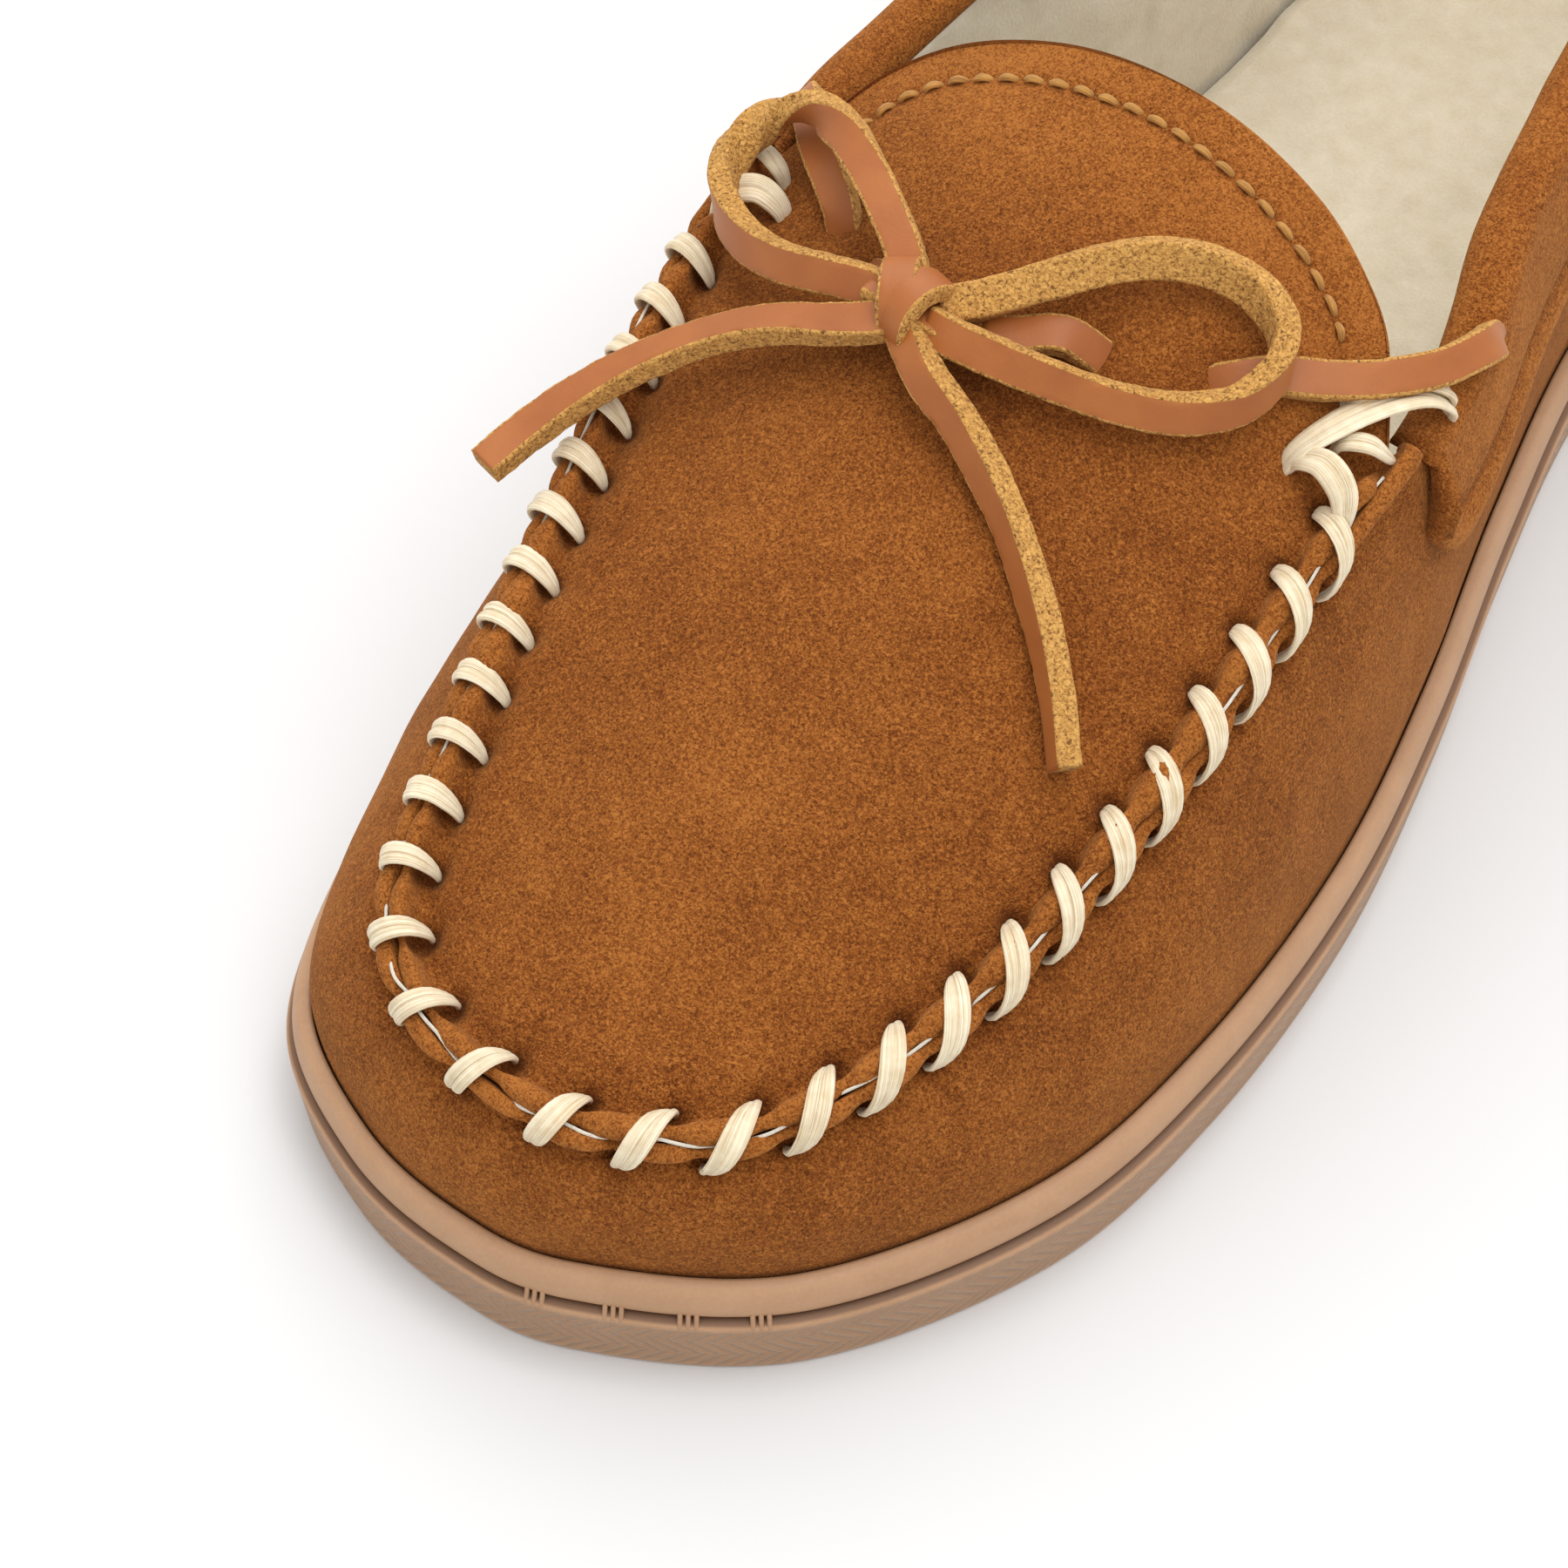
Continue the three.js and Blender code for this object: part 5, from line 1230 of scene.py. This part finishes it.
def apron_lining_body():
    """Pile under the apron: spokes out to just short of its edge, with a fringe of tufts that
    peeks out along the tongue."""
    u = np.linspace(SEAM_START, SEAM_END, 240)
    s = section(u)
    tip, tip_out = tongue_curve(140)
    edge = np.concatenate([s["top"], tip[1:-1]])
    out = np.concatenate([s["out"], tip_out[1:-1]])
    on_seam = np.arange(len(edge)) < len(u)
    index = np.arange(len(edge))
    along_side = np.minimum(index, len(u) - 1 - index)
    along_tip = np.minimum(index - len(u), len(edge) - index)
    to_corner = np.where(on_seam, along_side, along_tip)
    inset = np.where(on_seam, 6.5, 1.1)
    inset = lerp(11.0, inset, smooth(0, np.where(on_seam, 18, 26), to_corner))
    rim = (edge - out * inset[:, None])[:, :2]
    k = np.linspace(0, 1, 26)[1:]
    xy = APRON_CENTRE + (rim[:, None] - APRON_CENTRE) * k[:, None]
    high = arch_height(xy[..., 0], xy[..., 1]) - APRON_THICK - 2 * CLEARANCE
    top = np.concatenate([xy, high[..., None]], -1)
    under = top - [0, 0, LINING_THICK]
    under[..., 2] += 0.5 * lumps(under, 4, 51)
    p = np.concatenate([top, under[:, ::-1]], 1)
    middle = [*APRON_CENTRE, arch_height(*APRON_CENTRE) - APRON_THICK - 2 * CLEARANCE]
    low_middle = [middle[0], middle[1], middle[2] - LINING_THICK]
    base = faced_out(lattice(p, closed_u=True, first_pole=middle, last_pole=low_middle))
    # depth gives the lining's surface the painted shade of the pile's roots.
    base = base, {"depth": np.full(len(base[0]), 0.6)}
    fringe, fringe_out = tongue_curve(2600, 1.9)
    keep = slice(260, -260)
    scatter = 0.35 * np.random.default_rng(52).normal(size=fringe[keep].shape)
    roots = fringe[keep] - [0, 0, 2.8] + scatter
    aim = unit(fringe_out[keep] + [0, 0, 0.1])
    fringe_tufts = tufts_body(roots, aim, 1.5, 0.3, np.array([0, -0.5, 0.2]), 53, 0.6)
    spots = scattered(under, 2500, 54)
    down = np.broadcast_to([0.0, 0.0, -1.0], spots.shape)
    under_tufts = tufts_body(spots, down, 2.0, 0.5, np.array([0, -1.0, 0]), 55)
    return stacked([base, fringe_tufts, under_tufts])


# ---------- threads ----------
def stitch_strands(a, b, rng):
    """One whip stitch: two flat strands side by side that leave the apron's hole at station a,
    arch over the ridge and enter the wrap's hole at station b, pinched together in both."""
    profile = np.array(
        [
            [-2.4, -1.2], [-3.0, 0.1], [-2.8, 2.2], [-1.9, 3.8], [0, 4.55],
            [1.9, 3.9], [2.9, 2.3], [3.1, 0.5], [2.5, -0.9],
        ]
    )
    rows = through(np.concatenate([profile, np.zeros((len(profile), 1))], 1), 17)[:, :2]
    share = np.linspace(0, 1, len(rows))
    u = lerp(a, b, smooth(0.02, 0.98, share) * 0.5 + share * 0.5)
    path = beside(u, rows[:, 0], rows[:, 1])
    normal = unit(path - beside(u, np.zeros_like(u), np.full_like(u, 1.2)))
    across = unit(np.cross(normal, np.gradient(path, axis=0)))
    spread = np.sin(np.pi * share)[:, None] ** 0.7
    made = []
    for hand in (-1, 1):
        wide = rng.uniform(1.4, 1.7)
        off = across * spread * hand * rng.uniform(0.62, 0.76)
        lift = normal * spread * rng.uniform(-0.05, 0.12)
        body, marks = strand_body(path + off + lift, normal, wide, 0.8, 0.25)
        marks["lot"] = np.full(len(body[0]), rng.uniform(0, 40))
        made.append((body, marks))
    return made


def whip_thread_body():
    """Every whip stitch in turn, each a little different."""
    rng = np.random.default_rng(11)
    made = []
    for a, b in zip(APRON_HOLES[:-1], WRAP_HOLES):
        made += stitch_strands(a, b, rng)
    return stacked(made)


def seam_core_body():
    """Fine white thread that wanders along the top of the seam under the stitches."""
    u = np.linspace(SEAM_START + 0.12, SEAM_END - 0.12, 900)
    wander = np.stack([u * 9, u * 0, u * 0], -1)
    q, e = 0.6 * lumps(wander, 3, 61), 3.15 + 0.6 * lumps(wander, 2.2, 62)
    path = beside(u, q, e)
    body, marks = strand_body(path, section(u)["ridge"], 0.4, 0.36, 0.9, 8)
    marks["along"] = marks["along"] * 300
    marks["lot"] = np.full(len(body[0]), 3.0)
    return body, marks


# Corner tie strands: how many lie side by side, their width, and their route from the seam's
# end as (forward along the seam, outward, up).
TIE_STRANDS = [
    (2, 2.3, [(7.4, -8.1, 0.2), (6.4, -7.5, 3.3), (1.8, -5.1, 5.2), (-3.5, -2.4, 5.0),
              (-7.0, 0.2, 3.9), (-9.0, 2.2, 1.2), (-9.6, 1.6, -2.2)]),
    (2, 1.6, [(-1.4, -6.9, 2.0), (-2.2, -5.9, 4.8), (-5.0, -3.6, 5.3), (-8.2, -1.0, 4.6),
              (-10.4, 1.3, 1.8), (-11.2, 0.8, -2.2)]),
    (2, 1.9, [(6.8, -7.6, 1.0), (6.8, -6.4, 3.4), (7.4, -3.5, 4.7), (9, -0.3, 3.2),
              (10.8, 1.2, -1.0)]),
    (2, 1.3, [(3.0, -4.9, 1.4), (3.0, -3.7, 4.0), (2.4, -1.0, 4.4), (1.2, 1.4, 1.4)]),
]


def corner_tie_body(seam_end, forward, seed):
    """The doubled stitches at a seam's end: flat strands from the apron over the ridge and
    along the cuff, side by side, and short stitches round the suede's folded edge."""
    rng = np.random.default_rng(seed)
    ends = beside(np.array([seam_end, seam_end + 0.1 * forward]), np.zeros(2), np.zeros(2))
    ahead = unit((ends[1] - ends[0]) * [1, 1, 0])
    out = section(np.array([seam_end]))["out"][0]
    made = []
    for count, width, route in TIE_STRANDS if forward > 0 else TIE_STRANDS[2:]:
        route = np.array(route)
        points = ends[0] + route[:, :1] * ahead + route[:, 1:2] * out + route[:, 2:] * [0, 0, 1]
        path = through(points, 30)
        normal = unit(path - (ends[0] + path.mean(0)) / 2 + [0, 0, 6])
        side = unit(np.cross(normal, np.gradient(path, axis=0)))
        share = np.linspace(0, 1, len(path))
        spread = np.sin(np.pi * share)[:, None] ** 0.6
        for place in np.arange(count) - (count - 1) / 2:
            shift = side * spread * place * width * 0.86
            shift = shift + normal * spread * rng.uniform(-0.1, 0.25)
            body, marks = strand_body(path + shift, normal, width, 0.95, 0.4)
            marks["lot"] = np.full(len(body[0]), rng.uniform(0, 40))
            made.append((body, marks))
    return stacked(made)


def apron_lumps(p):
    """How far the apron's soft lumps stand up at points p."""
    return 0.5 * lumps(p, 26, 8) + 0.2 * lumps(p, 10, 9)


def topstitch_body():
    """The tongue's line of single stitches: short flat beads that dip into holes at both ends,
    on the apron's lumpy surface, in from its free edge."""
    line, out = tongue_curve(3000, TOPSTITCH_INSET)
    run = np.concatenate([[0], np.cumsum(np.linalg.norm(np.diff(line, axis=0), axis=1))])
    rng = np.random.default_rng(71)
    pitch, first, last = 3.2, 9.0, run[-1] - 9.0
    made = []
    for start in np.arange(first, last - pitch, pitch):
        at = start + np.linspace(0, 2.4, 9)
        path = np.stack([np.interp(at, run, line[:, k]) for k in range(3)], -1)
        normal = arch_normal(path)
        share = np.linspace(0, 1, len(at))
        rise = -0.75 + 0.95 * np.sin(np.pi * share) ** 0.5 + apron_lumps(path)
        turned = np.interp(at, run, out[:, 0]), np.interp(at, run, out[:, 1])
        sway = rng.normal(0, 0.07) + (share - 0.5) * rng.normal(0, 0.12)
        path = path + normal * rise[:, None]
        path[:, 0] += turned[0] * sway
        path[:, 1] += turned[1] * sway
        body, marks = strand_body(path, normal, 0.95, 0.75, 0.55, 10)
        marks["lot"] = np.full(len(body[0]), rng.uniform(0, 40))
        made.append((body, marks))
    return stacked(made)


# ---------- thongs ----------
# Routes of the bow's four free thongs: x, y, z and the roll of the grain side in degrees.
LOOP_OUTER = [
    (8.6, 45.8, 72.0, -155), (5.2, 43.6, 73.4, -150), (0.5, 39.2, 75.2, -140),
    (-4, 34.4, 76.4, -130),
    (-8.8, 30.2, 76.8, -122), (-14, 27.4, 76, -116), (-19.4, 26.8, 74.6, -110),
    (-23.6, 28.6, 73, -100), (-25.4, 32.2, 72, -90), (-24.2, 37, 70, -75),
    (-20, 41.6, 69.6, -62), (-14.2, 45, 70.4, -55), (-7.6, 47.2, 71.4, -50),
    (-1, 48.4, 72, -48), (5, 49, 72.2, -46), (8.4, 48.6, 71.8, -46),
]
LOOP_INNER = [
    (13.0, 45.2, 72.4, -20), (15.4, 43, 73.4, -20), (20, 39.4, 74, -20), (25.6, 35.4, 74.2, -24),
    (31.6, 31.4, 73.4, -50), (37.4, 29, 71.2, -110), (42, 30, 68.2, -165),
    (44, 33.8, 65.8, -215), (43, 38.4, 64.6, -250), (39.6, 42.4, 64.8, -275),
    (34.4, 45.6, 66, -292), (28.6, 47.2, 67.8, -302), (22.8, 47.4, 69.8, -306),
    (17.4, 47.2, 71.2, -308), (14.2, 47.6, 71.4, -308),
]
TAIL_OUTER = [
    (10.6, 50.2, 71.2, 50), (8.2, 52.2, 71, 50), (4.8, 54.2, 70.2, 58),
    (0, 56, 69, 64), (-5, 58.4, 67.2, 68),
    (-10, 61.2, 65, 70), (-15, 64.6, 62.2, 72), (-19.8, 68.4, 59.2, 74),
    (-24.4, 72.8, 56, 76), (-28.6, 77.6, 52.6, 78),
]
TAIL_INNER = [
    (12.6, 49.6, 71.0, -12), (15, 51.2, 70.4, -12), (18.8, 52.8, 69.2, -8),
    (24, 54.2, 67.2, 0), (29.4, 56.4, 64.6, 4),
    (34.4, 59.6, 61.6, 6), (38.8, 63.8, 58.8, 6), (42.2, 68.8, 56.4, 4),
    (44.6, 74.2, 54.4, 2), (46.2, 79.8, 53, 0),
]
KNOT_AT = np.array([11.3, 47.6, 71.4])


def strap_body(rows, width, thick, seed):
    """A woven strap: a thong whose grain side faces up off the arched top all the way."""
    return thong_body(rows, width, thick, seed, arch_normal(rows[:, :3]))


def wrap_turn(centre, axis, radius, first, last, pitch, width, thick, seed):
    """A thong wound round an axis from one angle to another, grain side outwards."""
    axis = unit(np.array(axis, float))
    up = unit(np.array([0.0, 0.0, 1.0]) - axis * axis[2])
    side = np.cross(axis, up)
    angle = np.radians(np.linspace(first, last, 70))
    radial = np.cos(angle)[:, None] * up + np.sin(angle)[:, None] * side
    along = axis * (np.linspace(-0.5, 0.5, 70) * pitch)[:, None]
    rows = np.concatenate([centre + along + radial * radius, np.zeros((70, 1))], 1)
    return thong_body(rows, width, thick, seed, radial)


def knot_body(width, thick):
    """The knot: a smooth main turn round the bow's middle, a second one beside and across it,
    and a short core that the loops come out of."""
    middle = np.linspace(KNOT_AT - [5.5, -0.5, 0.6], KNOT_AT + [5.5, -0.5, -0.6], 24)
    core_rows = np.concatenate([middle, np.zeros((24, 1))], 1)
    core = thong_body(core_rows, width * 1.05, thick * 1.6, 91)
    main = wrap_turn(
        KNOT_AT + [-0.9, 0, 0.1], [1, -0.35, -0.1], 3.6, -170, 160, 1.4, width, thick * 0.85, 92
    )
    second = wrap_turn(
        KNOT_AT + [2.0, -0.6, 0.2], [0.85, 0.5, -0.1], 3.4, -165, 165, -1.6, width, thick * 0.8, 93
    )
    return stacked([core, main, second])


# ---------- sizes and colours that may be changed ----------
def tint(name, description, red, green, blue):
    """A colour property whose default is given as 0 to 255 display values."""
    return FloatVectorProperty(
        name=name,
        description=description,
        default=linear(red, green, blue)[:3],
        min=0.0,
        max=1.0,
        size=3,
        subtype="COLOR",
    )


class MoccasinSizes(bpy.types.PropertyGroup):
    """Sizes of the thongs and the stage."""

    thong_width: FloatProperty(
        name="Thong width",
        description="Width of the lace's leather thong",
        default=0.0043,
        unit="LENGTH",
        subtype="DISTANCE",
    )
    thong_thickness: FloatProperty(
        name="Thong thickness",
        description="Thickness of the lace's leather thong",
        default=0.0028,
        unit="LENGTH",
        subtype="DISTANCE",
    )
    floor_size: FloatProperty(
        name="Floor size",
        description="Side of the pale floor",
        default=6.0,
        unit="LENGTH",
        subtype="DISTANCE",
    )


class MoccasinColours(bpy.types.PropertyGroup):
    """Colours of the suede, pile, rubber and leather."""

    suede: tint("Suede", "Chestnut suede", 130, 72, 26)
    # suede_dark and suede_light are also reached where a piece's painted shade and painted light
    # push the suede's colour.
    suede_dark: tint("Suede shade", "Suede where its nap is brushed dark", 90, 44, 12)
    suede_light: tint("Suede light", "Suede where its nap is brushed light", 168, 104, 46)
    pile: tint("Pile", "Tips of the cream pile", 222, 214, 197)
    # pile_deep is the painted shade towards the pile's roots.
    pile_deep: tint("Pile shade", "Roots of the pile", 196, 180, 150)
    gum: tint("Gum rubber", "Tan rubber of the sole", 184, 144, 110)
    gum_shade: tint("Gum shade", "Darker marks in the rubber", 172, 132, 98)
    grain: tint("Thong grain", "Smooth side of the lace", 165, 96, 40)
    grain_dark: tint("Thong grain shade", "Darker drift in the smooth side", 150, 82, 34)
    flesh: tint("Thong flesh", "Rough side and cut edges of the lace", 182, 130, 62)


def finish(name, make, *details):
    """The fine material of that name, made the first time it is asked for."""
    return bpy.data.materials.get("fine_" + name) or make(*details)


def recoloured(node, material):
    """Gives a solid of the frame its detailed material."""
    bpy.data.objects[node].material_slots[0].material = material


# ---------- operators ----------
class MOCCASIN_OT_stage(bpy.types.Operator):
    """Pale floor, soft light from above and the side, and the camera.

    The floor is one square at z = 0. The camera stands half a metre from a point on the vamp."""

    bl_idname = "moccasin.stage"
    bl_label = "Stage"
    bl_options = {"REGISTER", "UNDO"}

    def execute(self, context):
        scene = context.scene
        camera = bpy.data.cameras.new("camera")
        camera.lens = 100.66
        view = bpy.data.objects.new("camera", camera)
        target = Vector((0.00785, 0.07697, 0.020))
        view.location = Vector((-0.1583, 0.3151, 0.4271))
        view.rotation_euler = (target - view.location).to_track_quat("-Z", "Y").to_euler()
        scene.collection.objects.link(view)
        scene.camera = view
        half = scene.moccasin_sizes.floor_size / 2
        mesh = bpy.data.meshes.new("floor")
        corners = [(-half, -half, 0), (half, -half, 0), (half, half, 0), (-half, half, 0)]
        mesh.from_pydata(corners, [], [(0, 1, 2, 3)])
        floor = bpy.data.objects.new("floor", mesh)
        paper = Finish("pale_floor", 0.9, 0.1)
        paper.shader.inputs["Base Color"].default_value = (0.7, 0.7, 0.7, 1)
        mesh.materials.append(paper.material)
        scene.collection.objects.link(floor)
        world = bpy.data.worlds.new("studio")
        world.use_nodes = True
        world.node_tree.nodes["Background"].inputs[0].default_value = (1, 1, 1, 1)
        world.node_tree.nodes["Background"].inputs[1].default_value = 0.95
        scene.world = world
        soft_light("key", (0.45, -0.6, 1.2), 1.2, 9.0)
        soft_light("fill", (-0.35, 0.0, 1.35), 0.9, 8.0)
        scene.view_settings.view_transform = "Standard"
        return {"FINISHED"}


def soft_light(name, place, size, power):
    """A large square lamp aimed at the shoe."""
    lamp = bpy.data.lights.new(name, "AREA")
    lamp.size = size
    lamp.energy = power
    light = bpy.data.objects.new(name, lamp)
    light.location = place
    aim = Vector((0, 0.05, 0.03)) - light.location
    light.rotation_euler = aim.to_track_quat("-Z", "Y").to_euler()
    bpy.context.scene.collection.objects.link(light)


class MOCCASIN_OT_bow(bpy.types.Operator):
    """The bow's two loops and two tails, each one free thong.

    A rounded rectangle is carried along each route and turned by the route's roll."""

    bl_idname = "moccasin.bow"
    bl_label = "Bow"
    bl_options = {"REGISTER", "UNDO"}

    def execute(self, context):
        sizes, colours = context.scene.moccasin_sizes, context.scene.moccasin_colours
        material = finish("thong_leather", thong_finish, colours)
        width, thick = sizes.thong_width / MM, sizes.thong_thickness / MM
        thongs = [
            ("bow_loop_outer", "lace_loop_lateral", LOOP_OUTER, "object"),
            ("bow_loop_inner", "lace_loop_medial", LOOP_INNER, "object"),
            ("bow_tail_outer", "lace_tail_lateral", TAIL_OUTER, "bare"),
            ("bow_tail_inner", "lace_tail_medial", TAIL_INNER, "bare"),
        ]
        for seed, (name, node, route, far_end) in enumerate(thongs):
            rows = through(route, 150)
            body, marks = thong_body(rows, width, thick, seed)
            piece = new_piece(name, body, material, [node], marks)
        return {"FINISHED"}


class MOCCASIN_OT_straps(bpy.types.Operator):
    """The two woven straps and the knot.

    Each strap is a rounded rectangle carried along its woven route. The knot's turns are the
    same section wound round the bow's middle."""

    bl_idname = "moccasin.straps"
    bl_label = "Straps and knot"
    bl_options = {"REGISTER", "UNDO"}

    def execute(self, context):
        sizes, colours = context.scene.moccasin_sizes, context.scene.moccasin_colours
        material = finish("thong_leather", thong_finish, colours)
        width, thick = sizes.thong_width / MM, sizes.thong_thickness / MM
        names = ("strap_outer", "strap_inner")
        nodes = ("lace_strap_lateral", "lace_strap_medial")
        for k, (name, node, rows) in enumerate(zip(names, nodes, strap_ways())):
            body, marks = strap_body(rows, width, thick * 0.85, 81 + k)
            new_piece(name, body, material, [node], marks)
        body, marks = knot_body(width, thick)
        new_piece("bow_knot", body, material, ["lace_knot"], marks)
        return {"FINISHED"}


class MOCCASIN_OT_sole(bpy.types.Operator):
    """The gum cup sole.

    A section of (inset, height) is carried round the outline. Its ribs are relief in the rubber:
    a triangle wave of the run along the outline, shifted by a triangle wave of the height."""

    bl_idname = "moccasin.sole"
    bl_label = "Sole"
    bl_options = {"REGISTER", "UNDO"}

    def execute(self, context):
        body, marks = sole_body()
        material = finish("gum_rubber", gum_finish, context.scene.moccasin_colours)
        new_piece("sole", body, material, ["outsole"], marks)
        return {"FINISHED"}


class MOCCASIN_OT_suede(bpy.types.Operator):
    """The suede parts: wrap, apron with tongue, collar cuff and the strip over the back seam.

    The wrap and cuff are a cubic Bezier line of the wall, carried round the shoe. The apron is
    the arched top, z = spine(y) - ARCH (x - centre)^2, with its edge turned up at the seam."""

    bl_idname = "moccasin.suede"
    bl_label = "Suede"
    bl_options = {"REGISTER", "UNDO"}

    def execute(self, context):
        material = finish("suede", suede_finish, context.scene.moccasin_colours)
        made = [
            ("wrap", "vamp_wrap", wrap_body),
            ("apron_top", "apron", apron_body),
            ("cuff", "collar_cuff", cuff_body),
            ("backstay", "heel_backstay", backstay_body),
        ]
        for name, node, make in made:
            body, marks = make()
            new_piece(name, body, material, [node], marks)
        return {"FINISHED"}


class MOCCASIN_OT_pile(bpy.types.Operator):
    """The pile linings and footbed cover.

    Each is a layer of the wall, the arch or the floor, raised by smooth random lumps. The one
    under the apron also has bent tapering tufts, scattered by area and along its edge."""

    bl_idname = "moccasin.pile"
    bl_label = "Pile"
    bl_options = {"REGISTER", "UNDO"}

    def execute(self, context):
        material = finish("pile", pile_finish, context.scene.moccasin_colours)
        made = [
            ("pile_quarter", "quarter_lining", quarter_lining_body),
            ("pile_vamp", "vamp_lining", vamp_lining_body),
            ("pile_apron", "apron_lining", apron_lining_body),
            ("pile_footbed", "pile_sock", sock_body),
        ]
        for name, node, make in made:
            body, marks = make()
            piece = new_piece(name, body, material, [node], marks)
        return {"FINISHED"}


class MOCCASIN_OT_threads(bpy.types.Operator):
    """The whip stitches, the thread along the seam, the corner ties and the tongue's stitches.

    Each strand is an ellipse carried along its path and narrowed at both ends."""

    bl_idname = "moccasin.threads"
    bl_label = "Threads"
    bl_options = {"REGISTER", "UNDO"}

    def execute(self, context):
        waxed_tones = linear(243, 231, 203), linear(196, 168, 124)
        waxed = finish("waxed_thread", thread_finish, "waxed_thread", *waxed_tones)
        white_tones = linear(246, 240, 226), linear(206, 192, 168)
        white = finish("white_thread", thread_finish, "white_thread", *white_tones)
        ochre_tones = linear(206, 150, 72), linear(138, 88, 34)
        ochre = finish("ochre_thread", thread_finish, "ochre_thread", *ochre_tones)
        body, marks = whip_thread_body()
        new_piece("whip_stitches", body, waxed, ["whip_thread"], marks)
        ties = [
            ("tie_outer", "corner_tie_lateral", SEAM_START, 1, 12),
            ("tie_inner", "corner_tie_medial", SEAM_END, -1, 13),
        ]
        for name, node, seam_end, forward, seed in ties:
            body, marks = corner_tie_body(seam_end, forward, seed)
            new_piece(name, body, waxed, [node], marks)
        body, marks = seam_core_body()
        new_piece("seam_thread", body, white, ["seam_cord"], marks)
        body, marks = topstitch_body()
        new_piece("tongue_stitches", body, ochre, ["tongue_topstitch"], marks)
        return {"FINISHED"}


class MOCCASIN_OT_inner_layers(bpy.types.Operator):
    """Materials of the board, foam and heel stiffener, which stay as the frame has them."""

    bl_idname = "moccasin.inner_layers"
    bl_label = "Inner layers"
    bl_options = {"REGISTER", "UNDO"}

    def execute(self, context):
        layers = [
            ("insole_board", "board", linear(186, 150, 104), linear(150, 112, 70), 0.6),
            ("foam_footbed", "foam", linear(226, 214, 190), linear(196, 180, 150), 0.35),
            ("heel_counter", "stiffener", linear(214, 206, 190), linear(180, 168, 148), 0.5),
        ]
        for node, name, pale, deep, size in layers:
            recoloured(node, plain_fibre_finish(name, pale, deep, size))
        return {"FINISHED"}


OPERATORS = (
    MOCCASIN_OT_stage,
    MOCCASIN_OT_bow,
    MOCCASIN_OT_straps,
    MOCCASIN_OT_sole,
    MOCCASIN_OT_suede,
    MOCCASIN_OT_pile,
    MOCCASIN_OT_threads,
    MOCCASIN_OT_inner_layers,
)


class MOCCASIN_PT_panel(bpy.types.Panel):
    """Lists the sizes, the colours and the makers of the pieces in the sidebar."""

    bl_idname = "MOCCASIN_PT_panel"
    bl_label = "Moccasin"
    bl_space_type = "VIEW_3D"
    bl_region_type = "UI"
    bl_category = "Moccasin"

    def draw(self, context):
        for group in (context.scene.moccasin_sizes, context.scene.moccasin_colours):
            for name in group.__annotations__:
                self.layout.prop(group, name)
        for operator in OPERATORS:
            self.layout.operator(operator.bl_idname)


CLASSES = (MoccasinSizes, MoccasinColours, *OPERATORS, MOCCASIN_PT_panel)


def register():
    """Adds the classes and the scene's sizes and colours."""
    for made in CLASSES:
        bpy.utils.register_class(made)
    bpy.types.Scene.moccasin_sizes = PointerProperty(type=MoccasinSizes)
    bpy.types.Scene.moccasin_colours = PointerProperty(type=MoccasinColours)


def unregister():
    """Takes them away again."""
    del bpy.types.Scene.moccasin_colours
    del bpy.types.Scene.moccasin_sizes
    for made in reversed(CLASSES):
        bpy.utils.unregister_class(made)


def main():
    """Makes the whole shoe on its stage."""
    register()
    for operator in OPERATORS:
        group, name = operator.bl_idname.split(".")
        getattr(getattr(bpy.ops, group), name)()
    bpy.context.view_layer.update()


if __name__ == "__main__":
    main()
